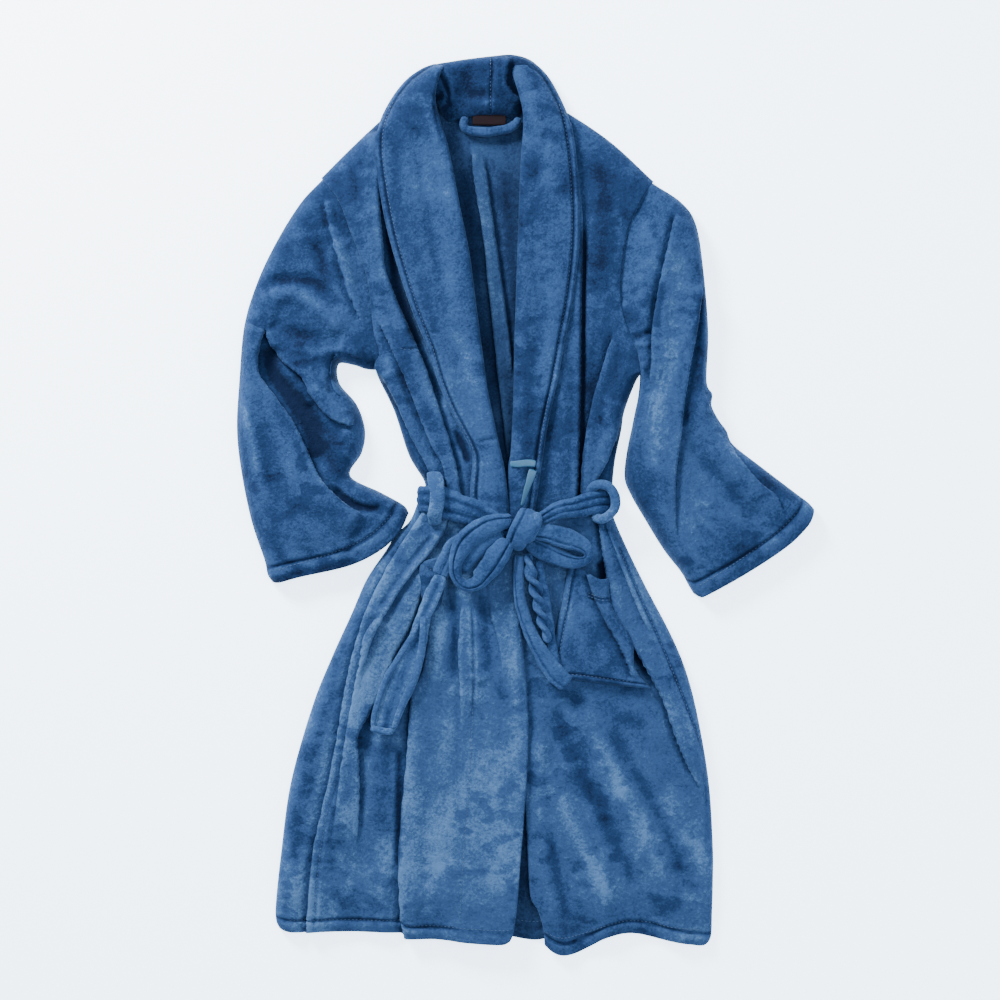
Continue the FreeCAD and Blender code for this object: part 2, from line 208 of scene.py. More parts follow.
def distances(grid):
    """Distance of each point of a grid from its left, right, top and bottom edges."""
    across = np.linalg.norm(np.diff(grid, axis=1), axis=2)
    down = np.linalg.norm(np.diff(grid, axis=0), axis=2)
    dl = np.hstack([np.zeros((len(grid), 1)), np.cumsum(across, axis=1)])
    dt = np.vstack([np.zeros((1, grid.shape[1])), np.cumsum(down, axis=0)])
    return dl, dl[:, -1:] - dl, dt, dt[-1:] - dt


def shell(out, grid, top, thick=CLOTH, rolls=(None,) * 4, low=None, shade=0.0):
    """Closed piece of cloth under the heights top. rolls says over what distance from the
    left, right, top and bottom edges it curves down to low; other edges are rounded."""
    nv, nu = top.shape
    away = distances(grid)
    low = thick / 2 + 0.4 if low is None else low
    keep = np.ones(top.shape)
    for d, r in zip(away, rolls):
        if r is not None:
            t = np.clip(d / np.maximum(r, 0.01), 0, 1)
            keep = keep * np.where(np.broadcast_to(r, d.shape) > 0.5, np.sqrt(1 - (1 - t) ** 2), 1)
    z = low + (top - low) * keep
    edge = np.minimum.reduce(away)
    q = np.sqrt(1 - (1 - np.clip(edge / (thick / 2), 0, 1)) ** 2)
    upper = z - thick / 2 * (1 - q)
    under = upper - thick * q
    under = np.maximum(under, np.minimum(upper, 0.3))
    upper = np.maximum(upper, 0.3)
    number = np.arange(nv * nu).reshape(nv, nu)
    below = number.copy()
    below[1:-1, 1:-1] = nv * nu + np.arange((nv - 2) * (nu - 2)).reshape(nv - 2, nu - 2)
    verts = np.vstack([
        np.dstack([grid, upper[..., None]]).reshape(-1, 3),
        np.dstack([grid, under[..., None]])[1:-1, 1:-1].reshape(-1, 3)])
    tone = np.broadcast_to(np.asarray(shade, float), top.shape)
    tone = np.concatenate([tone.ravel(), tone[1:-1, 1:-1].ravel()])
    faces = []
    for n, flip in ((number, False), (below, True)):
        q4 = np.stack([n[:-1, :-1], n[1:, :-1], n[1:, 1:], n[:-1, 1:]], -1).reshape(-1, 4)
        faces += [tuple(f) for f in (q4[:, ::-1] if flip else q4).tolist()]
    out.add(verts, faces, tone)
    return np.dstack([grid, upper[..., None]])


def overhang(grid, z):
    """Leans steep cloth out at its top and in at its foot, so that its folds stand up."""
    soft = blurred(z, LEAN_WIDTH)
    across, down = np.gradient(grid, axis=1), np.gradient(grid, axis=0)
    zu, zv = np.gradient(soft, axis=1), np.gradient(soft, axis=0)
    det = across[..., 0] * down[..., 1] - across[..., 1] * down[..., 0]
    det = np.where(abs(det) < 1e-6, 1e-6, det)
    gx = (zu * down[..., 1] - zv * across[..., 1]) / det
    gy = (zv * across[..., 0] - zu * down[..., 0]) / det
    steep = np.hypot(gx, gy)
    edge = np.minimum.reduce(distances(grid))
    move = (-LEAN * np.clip(z - soft, -3.2, 3.2) * smooth(steep / 0.45) * smooth((edge - 3) / 12)
            / np.maximum(steep, 1e-3))
    return grid + np.dstack([gx * move, gy * move])


def raised(grid, base, folds=(), rough=1.0, seed=1):
    """Height of the cloth at each point: a base, its folds and the unevenness of plush."""
    x, y = grid[..., 0], grid[..., 1]
    z = np.zeros(x.shape) + base
    for f in folds:
        z = z + f(x, y)
    z = z + rough * (1.3 * noise(x, y, 48, seed) + 0.75 * noise(x, y, 21, seed + 1)
                     + 0.35 * noise(x, y, 9, seed + 2) + 0.22 * noise(x, y, 4.3, seed + 3))
    return z


def brushed_and_painted_shading(grid, tones=(), seed=1, level=0.0, top=None, marks=0.9):
    """Shade of the pile from about -1, dark, to 1, light: brushed long strokes down the piece,
    painted shade in the hollows of the heights top, a painted highlight along its ridges,
    and the given tones."""
    x, y = grid[..., 0], grid[..., 1]
    dl, dr, dt = distances(grid)[:3]
    across, down = (dl - dr) / 2, dt
    bent = across + 16 * noise(x, y, 55, seed + 9)
    s = (level + STROKES * (0.8 * noise(bent, down * 0.3, 22, seed + 5)
                            + 0.7 * noise(bent, down * 0.45, 11, seed + 6))
         + 0.42 * noise(x, y, 62, seed + 7) + 0.22 * noise(x, y, 15, seed + 8))
    lean = noise(x, y, 40, seed + 13)
    smudge = smooth((noise(x * 0.5 + 9 * lean, y * 0.8, 8.0, seed + 14) - 0.14) / 0.2)
    s = s - marks * smudge * smooth((noise(x, y, 58, seed + 15) + 0.15) / 0.5)
    smudge = smooth((noise(x * 0.6, y, 12, seed + 16) - 0.22) / 0.25)
    s = s + 0.5 * marks * smudge * smooth((noise(x, y, 70, seed + 17) + 0.1) / 0.5)
    # painted shade in the hollows of the heights and a painted highlight along their ridges
    if top is not None:
        s = s + 0.34 * np.clip(top - blurred(top, 4), -3.0, 0.9) + 0.17 * np.clip(
            top - blurred(top, 22), -6, 1.6)
    for f in tones:
        s = s + f(x, y)
    return s


def blurred(z, times):
    """Heights evened out over the neighbouring points."""
    for _ in range(times):
        p = np.pad(z, 1, mode="edge")
        z = (4 * z + p[:-2, 1:-1] + p[2:, 1:-1] + p[1:-1, :-2] + p[1:-1, 2:]) / 8
    return z


def hem(inset):
    """Extra lines for a rounded edge with a row of stitching that far inside it."""
    return EDGE + (inset - 3.5, inset - 1.6, inset, inset + 1.6, inset + 3.5)


def hem_groove(away, inset, depth=1.7):
    """Turned hem: a sewn groove, and the doubled cloth puffed up outside it."""
    return (-depth * np.exp(-((away - inset) / 1.9) ** 2)
            + 1.2 * np.exp(-((away - 0.55 * inset) / (0.32 * inset)) ** 2)
            + 0.5 * np.exp(-((away - inset - 5) / 4.0) ** 2))


def thread(out, points, length=3.4, gap=1.3, radius=0.42, shade=-0.3):
    """Row of stitches lying along points."""
    s = run(points)
    n = int(s[-1] / (length + gap))
    for k in range(n):
        t0 = (k * (length + gap) + gap / 2) / s[-1]
        ts = np.linspace(t0, t0 + length / s[-1], 4)
        p = at(points, ts, s)
        p[:, 2] += radius * np.array([-0.8, 0.5, 0.5, -0.8])
        way = p[-1] - p[0]
        way = way / (np.linalg.norm(way) or 1)
        side = np.cross(way, (0, 0, 1.0))
        side = side / (np.linalg.norm(side) or 1)
        up = np.cross(side, way)
        rings = []
        for i, c in enumerate(p):
            r = radius * (0.35 if i in (0, 3) else 1)
            rings.append([c + r * (math.cos(a) * side + math.sin(a) * up)
                          for a in np.arange(5) * 2 * math.pi / 5])
        verts = np.array(rings).reshape(-1, 3)
        faces = [(i * 5 + j, i * 5 + (j + 1) % 5, i * 5 + 5 + (j + 1) % 5, i * 5 + 5 + j)
                 for i in range(3) for j in range(5)]
        faces += [tuple(range(4, -1, -1)), tuple(range(15, 20))]
        out.add(verts, faces, shade, 1)


def on_surface(surface, points, step=2.0):
    """Points of a line, dropped onto a surface made by shell."""
    flat = surface.reshape(-1, 3)
    out = []
    for x, y in curve(points, step):
        k = np.argmin((flat[:, 0] - x) ** 2 + (flat[:, 1] - y) ** 2)
        out.append((x, y, flat[k, 2]))
    return np.array(out)


def ribbon(out, points, width, thick, creases=(0.0,), dent=0.45, twist=0.0, shade=0.0,
           seed=3, around=36, step=2.4, kind=0, rough=1.0, crease_width=0.1, across=None,
           blunt=4.0):
    """Strap of soft rolls along points (x, y, z of its middle). creases are the places
    across it, from -0.5 to 0.5, where two rolls meet."""
    p = np.array(points, float)
    line = curve(p, step)
    s = run(line)
    t = places(s[-1], step, (0, 0.5, 1.6, 3.4), (0, 0.5, 1.6, 3.4))
    c = at(line, t, s)
    knots = run(p) / run(p)[-1]
    w = np.interp(t, knots, np.broadcast_to(width, len(p)))
    h = np.interp(t, knots, np.broadcast_to(thick, len(p)))
    turn = np.interp(t, knots, np.broadcast_to(twist, len(p)))
    way = np.gradient(c, axis=0)
    way /= np.linalg.norm(way, axis=1)[:, None]
    side = np.cross(way, (0, 0, 1.0))
    if across is not None:
        hint = np.array(across, float)
        side = hint - (way @ hint)[:, None] * way
    side /= np.linalg.norm(side, axis=1)[:, None]
    up = np.cross(side, way)
    a = np.radians(turn)[:, None]
    side, up = side * np.cos(a) + up * np.sin(a), up * np.cos(a) - side * np.sin(a)
    end = np.minimum(t * s[-1], (1 - t) * s[-1])
    cap = np.sqrt(1 - (1 - np.clip(end / blunt, 0, 1)) ** 2) * 0.97 + 0.03
    angle = np.arange(around) * 2 * math.pi / around
    ca, sa = np.cos(angle), np.sin(angle)
    x = np.sign(ca) * abs(ca) ** 0.85
    z = np.sign(sa) * abs(sa) ** 0.85
    far = t * s[-1]
    groove = sum((np.exp(-((x[None] / 2 - k - 0.045 * noise(far, far * 0 + 40 * k, 22, seed + 6)[:, None])
                          / crease_width) ** 2) for k in creases), np.zeros((len(t), around)))
    groove = groove * (0.8 + 0.35 * noise(far, far * 0, 17, seed + 7)[:, None])
    z = z[None] * (1 - dent * groove)
    lump = 1 + rough * (0.07 * noise(np.outer(t * s[-1], 0 * x + 1), np.outer(w, x) / 2, 13, seed)
                        + 0.05 * noise(np.outer(t * s[-1], 0 * x + 1), np.outer(w, x) / 2, 6, seed + 1))
    body = (c[:, None] + side[:, None] * (np.outer(w / 2 * cap, x) * lump)[..., None]
            + up[:, None] * ((h / 2 * cap)[:, None] * z * lump)[..., None])
    n = len(t)
    faces = []
    for i in range(n - 1):
        for j in range(around):
            k = (j + 1) % around
            faces.append((i * around + j, i * around + k, (i + 1) * around + k, (i + 1) * around + j))
    faces += [tuple(range(around - 1, -1, -1)), tuple((n - 1) * around + j for j in range(around))]
    # painted shade in the creases on the upper side, and a painted sheen lightening the strap towards its
    # sides
    tone = (shade + 0.5 * noise(body[..., 0], body[..., 1], 16, seed + 4)
            - 1.5 * groove * (z > 0) + 0.35 * np.abs(x)[None] ** 3)
    out.add(body.reshape(-1, 3), faces, tone.ravel(), kind)
    return c


def piece(name, cloth, *materials, stands_for=(), body=None, bends=None, slot="plush"):
    """Makes the mesh, gives it its materials and fastens it to its CAD body; a piece given
    bends is not fastened, and its transform is baked into its mesh instead.
    """
    mesh = bpy.data.meshes.new(name)
    verts = np.vstack(cloth.verts) * MM
    mesh.from_pydata(verts.tolist(), [], cloth.faces)
    mesh.polygons.foreach_set("material_index", np.array(cloth.kinds, np.int32))
    mesh.polygons.foreach_set("use_smooth", np.ones(len(cloth.faces), bool))
    rest = mesh.attributes.new("rest", "FLOAT_VECTOR", "POINT")
    rest.data.foreach_set("vector", verts.astype(np.float32).ravel())
    # vertex shade: brushed pile tone with painted shade and a painted highlight
    nap_and_painted_shading = mesh.attributes.new("nap_and_painted_shading", "FLOAT", "POINT")
    nap_and_painted_shading.data.foreach_set("value", np.concatenate(cloth.shade).astype(np.float32))
    mesh.update()
    obj = bpy.data.objects.new(name, mesh)
    bpy.context.scene.collection.objects.link(obj)
    for m in materials:
        mesh.materials.append(m)
    if stands_for:
        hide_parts(*stands_for)
    if bends:
        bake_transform(obj)
    else:
        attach(obj, body or "robe")
    return obj


def area(obj):
    """Half the mesh's surface, in square metres, taken as the area of its cloth. Strips laid
    over each other and thick rolls make it too large."""
    return sum(p.area for p in obj.data.polygons) / 2


def declare(obj, length, width=None):
    """Works out the width of the piece as a sheet of cloth, length long as it lies: without a sewn
    width, the one its own area gives, and then its area is no test of it."""
    width = width or max(NARROWEST, round(area(obj) / length, 4))


# ------------------------------------------------------------------ camera, light and floor
scene = bpy.context.scene
camera = bpy.data.objects.new("camera", bpy.data.cameras.new("camera"))
scene.collection.objects.link(camera)
camera.data.lens = 85
camera.data.sensor_width = 36
camera.location = (-0.0318, 0.0078, 2.858)
scene.camera = camera


def area_light(name, place, target, size, power, colour):
    light = bpy.data.lights.new(name, "AREA")
    light.shape, light.size, light.energy, light.color = "DISK", size, power, colour
    obj = bpy.data.objects.new(name, light)
    scene.collection.objects.link(obj)
    obj.location = place
    obj.rotation_euler = (Vector(target) - Vector(place)).to_track_quat("-Z", "Y").to_euler()
    return obj


area_light("key", (-1.5, 1.9, 1.35), (0, 0, 0), 0.8, 270, (1.0, 0.985, 0.96))
area_light("top", (0.5, 0.2, 2.6), (0, 0, 0), 1.6, 58, (0.97, 0.98, 1.0))
area_light("fill", (1.8, -1.4, 1.6), (0, 0, 0), 1.8, 40, (0.90, 0.95, 1.0))
world = bpy.data.worlds.new("studio")
scene.world = world
world.use_nodes = True
world.node_tree.nodes["Background"].inputs["Color"].default_value = (0.88, 0.94, 1.0, 1)
world.node_tree.nodes["Background"].inputs["Strength"].default_value = 0.95


def shader(name):
    m = bpy.data.materials.new(name)
    m.use_nodes = True
    return m, m.node_tree.nodes, m.node_tree.links, m.node_tree.nodes["Principled BSDF"]


def put(nodes, links, kind, inputs=(), **settings):
    """Adds a node; inputs are (socket, value or another node's output)."""
    node = nodes.new(kind)
    for key, value in settings.items():
        setattr(node, key, value)
    for socket, value in inputs:
        if isinstance(value, bpy.types.NodeSocket):
            links.new(value, node.inputs[socket])
        else:
            node.inputs[socket].default_value = value
    return node


def plush(name, ramp, grain=0.52, sheen=0.12, bump=0.7):
    """Plush: short pile brushed light and dark, with painted shade and highlight from the vertex
    shade, a fine grain and a soft sheen.
    """
    m, nodes, links, skin = shader(name)
    rest = put(nodes, links, "ShaderNodeAttribute", attribute_name="rest").outputs["Vector"]
    nap_and_painted_shading = put(nodes, links, "ShaderNodeAttribute", attribute_name="nap_and_painted_shading").outputs["Fac"]
    blot = put(nodes, links, "ShaderNodeTexNoise", [("Vector", rest), ("Scale", 150.0),
               ("Detail", 3.0), ("Roughness", 0.6), ("Distortion", 0.3)]).outputs["Fac"]
    fine = put(nodes, links, "ShaderNodeTexNoise", [("Vector", rest), ("Scale", 340.0),
               ("Detail", 2.0), ("Roughness", 0.7)]).outputs["Fac"]
    hair = put(nodes, links, "ShaderNodeTexNoise", [("Vector", rest), ("Scale", 900.0),
               ("Detail", 1.0)]).outputs["Fac"]

    def maths(kind, a, b):
        return put(nodes, links, "ShaderNodeMath", [(0, a), (1, b)], operation=kind).outputs[0]

    # the vertex shade, brushed tone with painted shade and highlight, sets the colour
    mix = maths("MULTIPLY", nap_and_painted_shading, 0.235)
    mix = maths("ADD", mix, maths("MULTIPLY", maths("SUBTRACT", blot, 0.5), 0.34))
    mix = maths("ADD", mix, maths("MULTIPLY", maths("SUBTRACT", fine, 0.5), grain))
    mix = maths("ADD", mix, maths("MULTIPLY", maths("SUBTRACT", hair, 0.5), grain * 0.5))
    mix = maths("ADD", mix, 0.5)
    colour = put(nodes, links, "ShaderNodeValToRGB", [("Fac", mix)])
    colour.color_ramp.interpolation = "EASE"
    stops = colour.color_ramp.elements
    while len(stops) < len(ramp):
        stops.new(0.5)
    for stop, (place, rgb) in zip(stops, ramp):
        stop.position, stop.color = place, (*rgb, 1)
    links.new(colour.outputs["Color"], skin.inputs["Base Color"])
    height = maths("ADD", maths("MULTIPLY", fine, 0.6), maths("MULTIPLY", blot, 1.2))
    height = maths("ADD", height, maths("MULTIPLY", hair, 0.25))
    relief = put(nodes, links, "ShaderNodeBump", [("Height", height), ("Strength", bump),
                 ("Distance", 0.0022)])
    links.new(relief.outputs["Normal"], skin.inputs["Normal"])
    skin.inputs["Roughness"].default_value = 0.85
    skin.inputs["Specular IOR Level"].default_value = 0.05
    skin.inputs["Sheen Weight"].default_value = sheen
    skin.inputs["Sheen Roughness"].default_value = 0.4
    skin.inputs["Sheen Tint"].default_value = (0.26, 0.50, 1.0, 1)
    return m


BLUES = [(0.06, (0.0017, 0.0059, 0.0215)), (0.34, (0.0053, 0.0166, 0.0525)),
         (0.62, (0.0138, 0.0365, 0.0990)), (0.96, (0.0410, 0.0910, 0.1950))]


def tinted(ramp, gain):
    return [(p, tuple(min(1.0, c * gain) for c in rgb)) for p, rgb in ramp]


PLUSH = plush("plush blue", BLUES)
# darker copy of the plush for the back's inside, which lies low between the fronts: painted shade
PLUSH_PAINTED_SHADE = plush("plush painted shade", tinted(BLUES, 0.72))
# lighter copy of the plush for the sash, which lies on top: painted light
PLUSH_PAINTED_LIGHT = plush("plush sash painted light", tinted(BLUES, 1.15))
THREAD, _, _, _skin = shader("blue thread")
_skin.inputs["Base Color"].default_value = (0.010, 0.036, 0.095, 1)
_skin.inputs["Roughness"].default_value = 0.6


def satin():
    m, nodes, links, skin = shader("satin ribbon")
    rest = put(nodes, links, "ShaderNodeAttribute", attribute_name="rest").outputs["Vector"]
    weave = put(nodes, links, "ShaderNodeTexWave", [("Vector", rest), ("Scale", 900.0),
                ("Distortion", 1.5)], bands_direction="DIAGONAL")
    tone = put(nodes, links, "ShaderNodeValToRGB", [("Fac", weave.outputs["Fac"])])
    tone.color_ramp.elements[0].color = (0.011, 0.050, 0.105, 1)
    tone.color_ramp.elements[1].color = (0.022, 0.080, 0.155, 1)
    links.new(tone.outputs["Color"], skin.inputs["Base Color"])
    skin.inputs["Roughness"].default_value = 0.4
    skin.inputs["Specular IOR Level"].default_value = 0.2
    return m


def woven_label():
    m, nodes, links, skin = shader("woven label")
    rest = put(nodes, links, "ShaderNodeAttribute", attribute_name="rest").outputs["Vector"]
    grid = put(nodes, links, "ShaderNodeTexNoise", [("Vector", rest), ("Scale", 1400.0)])
    ramp = put(nodes, links, "ShaderNodeValToRGB", [("Fac", grid.outputs["Fac"])])
    ramp.color_ramp.elements[0].color = (0.0030, 0.0012, 0.0022, 1)
    ramp.color_ramp.elements[1].color = (0.0085, 0.0042, 0.0066, 1)
    links.new(ramp.outputs["Color"], skin.inputs["Base Color"])
    skin.inputs["Roughness"].default_value = 0.8
    skin.inputs["Specular IOR Level"].default_value = 0.1
    return m


SATIN, LABEL = satin(), woven_label()

floor = bpy.data.objects.new("floor", bpy.data.meshes.new("floor"))
floor.data.from_pydata([(-9, -9, 0), (9, -9, 0), (9, 9, 0), (-9, 9, 0)], [], [(0, 1, 2, 3)])
scene.collection.objects.link(floor)
paper, _, _, _skin = shader("paper")
_skin.inputs["Base Color"].default_value = (0.86, 0.92, 1.0, 1)
_skin.inputs["Roughness"].default_value = 0.9
_skin.inputs["Specular IOR Level"].default_value = 0.0
_skin.inputs["Emission Color"].default_value = (0.62, 0.81, 1.0, 1)
_skin.inputs["Emission Strength"].default_value = 3.4
floor.data.materials.append(paper)


# ------------------------------------------------------------------ back
def back_lift(y):
    """The back rides over the sash that passes under it."""
    return 3.2 * smooth((46 - y) / 12) * smooth((y + 42) / 12)


def make_back():
    out = Cloth()
    right = [(-155, 495), (-181, 455), (-212, 405), (-205, 340), (-190, 270), (-172, 190),
             (-150, 130), (-130, 80), (-116, 36), (-116, -26), (-140, -60), (-176, -110),
             (-212, -208), (-248, -304), (-272, -388), (-286, -448), (-297, -503)]
    left = [(33, 490), (68, 456), (108, 418), (140, 386), (138, 330), (133, 260), (128, 180),
            (115, 140), (104, 92), (92, 36), (92, -26), (108, -60), (130, -100), (176, -220),
            (198, -320), (210, -420), (221, -508)]
    grid = patch(left=right, right=left, fine=(EDGE, EDGE, EDGE, hem(SKIRT)), step=2.6,
                 top=[(-155, 495), (-143, 512), (-121, 526), (-89, 532), (-44, 536), (-14, 537),
                     (7, 527), (21, 511), (33, 490)],
                 bottom=[(-297, -503), (-286, -507), (-180, -508), (-80, -511), (-24, -519), (14, -524),
                         (50, -514), (120, -508), (221, -508)])
    y = grid[..., 1]
    db = distances(grid)[3]
    folds = [
        fold([(-68, 440), (-61, 386), (-51, 326), (-45, 266), (-39, 212), (-33, 152), (-26, 92),
            (-22, 44)], 7.5, 9, 1, 3.5, (30, 40)),
        fold([(-51, 427), (-43, 368), (-34, 305), (-26, 248), (-19, 194),
            (-15, 152)], 4.5, 9, -1, 3.5, (30, 30)),
        ridge([(-86, 428), (-74, 332), (-58, 224), (-44, 128)], -1.2, 9),
    ]
    z = raised(grid, 4.0 + back_lift(y), folds, rough=0.25, seed=11)
    z = z + hem_groove(db, SKIRT, 1.2) * 0.7
    # painted shade along the creases and a painted highlight along the raised fold
    tones = [ridge([(-77, 416), (-63, 296), (-51, 212), (-37, 128)], -0.9, 9),
             ridge([(-28, 416), (-17, 296), (-13, 200)], -1.0, 7),
             ridge([(-58, 428), (-44, 320), (-32, 224), (-25, 152)], 0.5, 7)]
    grid = overhang(grid, z)
    top = shell(out, grid, z, 4.0, low=2.2, shade=brushed_and_painted_shading(grid, tones, 12, 0.05, z, marks=0.25))
    k = int(np.argmin(abs(db[:, 5] - SKIRT)))
    thread(out, top[k, 4:-4])
    obj = piece("back", out, PLUSH_PAINTED_SHADE, THREAD, stands_for=("back_panel", "back_hem_band"))
    declare(obj, 1.03)


# ------------------------------------------------------------------ chests
def make_right_chest():
    out = Cloth()
    grid = patch(
        left=[(-248, 397), (-226, 368), (-211, 329), (-197, 293), (-189, 260), (-184, 212),
            (-177, 185), (-182, 164), (-160, 116), (-142, 62), (-123, 29), (-125, 8)],
        right=[(-118, 497), (-113, 452), (-107, 404), (-99, 356), (-89, 308), (-77, 260),
            (-63, 212), (-49, 152), (-37, 92), (-29, 44), (-26, 8), (-22, -21)],
        top=[(-248, 397), (-212, 433), (-170, 472), (-146, 488), (-118, 497)],
        bottom=[(-125, 8), (-98, 4), (-62, -8), (-22, -21)],
        fine=(TURN, EDGE, TURN, EDGE), step=1.9)
    y = grid[..., 1]
    below = smooth((168 - y[:, :1]) / 22)
    folds = [
        fold([(-175, 454), (-178, 404), (-178, 368), (-173, 308), (-171, 286), (-157, 248),
            (-134, 197), (-119, 160), (-106, 118), (-92, 76), (-85, 47), (-79, 8)],
             8.5, 26, -1, 4.5, (10, 0), 0.5),
        ridge([(-171, 404), (-165, 332), (-158, 278), (-145, 236), (-127, 190), (-113, 154),
            (-97, 118)], -10.0, 8, (30, 20)),
        ridge([(-89, 98), (-77, 71), (-68, 49)], -4.0, 4, (14, 10)),
        ridge([(-99, 128), (-87, 86), (-77, 50), (-73, 14)], 1.5, 6, (20, 0)),
        fold([(-181, 226), (-164, 194), (-146, 152), (-128, 107), (-113, 71), (-101, 51),
            (-94, 20)], 5.0, 16, 1, 5, (20, 0), 0.5),
        fold([(-177, 161), (-160, 131), (-140, 89), (-119, 50),
            (-111, 32)], 6.0, 14, 1, 3.5, (8, 0), 0.9),
        ridge([(-170, 185), (-152, 137), (-130, 89), (-111, 53)], 2.2, 7, (20, 20)),
        ridge([(-193, 362), (-185, 308), (-176, 248), (-166, 206)], 2.4, 10),
        ridge([(-209, 356), (-197, 308), (-193, 272)], -1.4, 9),
        ridge([(-224, 410), (-200, 368), (-190, 320)], 2.0, 12), ridge([(-154, 176), (-140, 137),
            (-123, 98)], -2.0, 6),
        seam([(-152, 190), (-142, 188), (-130, 190)], 2.2),
    ]
    z = np.clip(raised(grid, 21.0, folds, seed=21), 7, 33)
    # painted shade along the creases and a painted highlight along the raised folds, with light and dark
    # patches of the brushed pile
    tones = [ridge([(-171, 401), (-165, 332), (-158, 278), (-145, 236),
        (-127, 190)], -2.6, 6, (24, 20)),
             ridge([(-87, 94), (-76, 71), (-68, 51)], -2.5, 4, (10, 8)),
             ridge([(-178, 152), (-159, 106), (-140, 62), (-123, 37)], -0.9, 6, (6, 0)),
             ridge([(-188, 380), (-185, 308), (-178, 236)], 0.3, 12),
             ridge([(-202, 404), (-193, 368)], -0.6, 12), ridge([(-158, 464), (-152, 440)], -0.6, 14),
             ridge([(-137, 152), (-113, 92), (-97, 44)], -0.4, 9)]
    grid = overhang(grid, z)
    top = shell(out, grid, z, CLOTH, rolls=(15 * below, None, 22, None),
                shade=brushed_and_painted_shading(grid, tones, 22, 0.05, z, marks=0.5))
    thread(out, on_surface(top, [(-152, 190), (-142, 188), (-130, 190)]))
    obj = piece("right_chest", out, PLUSH, THREAD, stands_for=("right_front_panel",))
    declare(obj, 0.48)


def make_left_chest():
    out = Cloth()
    grid = patch(
        left=[(-8, 497), (10, 452), (22, 404), (31, 356), (34, 308), (34, 260), (31, 212),
            (22, 152), (14, 92), (8, 44), (5, 8), (4, -19)],
        right=[(154, 393), (137, 365), (122, 329), (115, 281), (116, 236), (128, 203), (148, 178),
            (133, 152), (119, 116), (115, 92), (107, 53), (103, 8)],
        top=[(-8, 497), (16, 493), (50, 476), (103, 440), (154, 393)],
        bottom=[(4, -19), (40, -5), (76, 4), (103, 8)],
        fine=(EDGE, TURN, TURN, EDGE), step=1.9)
    y = grid[..., 1]
    below = smooth((176 - y[:, :1]) / 22)
    folds = [
        fold([(64, 404), (68, 326), (67, 248), (65, 188), (64, 128), (62, 68),
            (61, 8)], 4.5, 22, -1, 3, (60, 0), 0.3),
        ridge([(68, 350), (69, 296), (68, 248), (67, 128), (64, 14)], -8.0, 3.4, (50, 0)),
        fold([(105, 212), (95, 176), (86, 148), (74, 95), (68, 47),
            (64, 8)], 7.0, 20, 1, 4.5, (26, 0), 0.6),
        fold([(121, 128), (115, 104), (109, 83), (97, 56), (82, 28),
            (76, 10)], 6.5, 16, -1, 4, (10, 0), 0.8),
        ridge([(122, 176), (103, 128), (92, 80), (81, 44)], 2.0, 7, (20, 20)),
        ridge([(83, 212), (79, 164), (71, 116)], -2.0, 7), ridge([(44, 152), (40, 92),
            (35, 20)], 2.0, 8, (20, 0)),
        ridge([(93, 404), (95, 320), (93, 248)], 2.6, 17), ridge([(55, 188), (55, 104),
            (52, 8)], -1.6, 5, (20, 0)),
        ridge([(76, 452), (106, 410), (127, 380)], 2.0, 14), ridge([(110, 356), (103, 284)], -1.6, 9),
    ]
    z = np.clip(raised(grid, 18.0, folds, seed=31), 7, 28)
    # painted shade along the creases and a painted highlight along the raised folds, with light and dark
    # patches of the brushed pile
    tones = [ridge([(68, 350), (69, 296), (68, 248), (67, 128), (64, 14)], -2.4, 4.0, (50, 0)),
             ridge([(76, 200), (74, 140), (69, 80)], -0.7, 9), ridge([(88, 428), (93, 344),
                 (88, 248)], -0.7, 14),
             ridge([(128, 350), (115, 284), (117, 224)], -0.3, 9), ridge([(106, 128), (93, 80),
                 (81, 32)], 0.4, 8),
             ridge([(76, 440), (88, 368)], -0.6, 14), ridge([(112, 89), (105, 50),
                 (98, 26)], -1.0, 5)]
    grid = overhang(grid, z)
    shell(out, grid, z, CLOTH, rolls=(None, 15 * below, 22, None),
          shade=brushed_and_painted_shading(grid, tones, 32, -0.2, z, marks=0.5))
    obj = piece("left_chest", out, PLUSH, THREAD, stands_for=("left_front_panel",))
    declare(obj, 0.48)


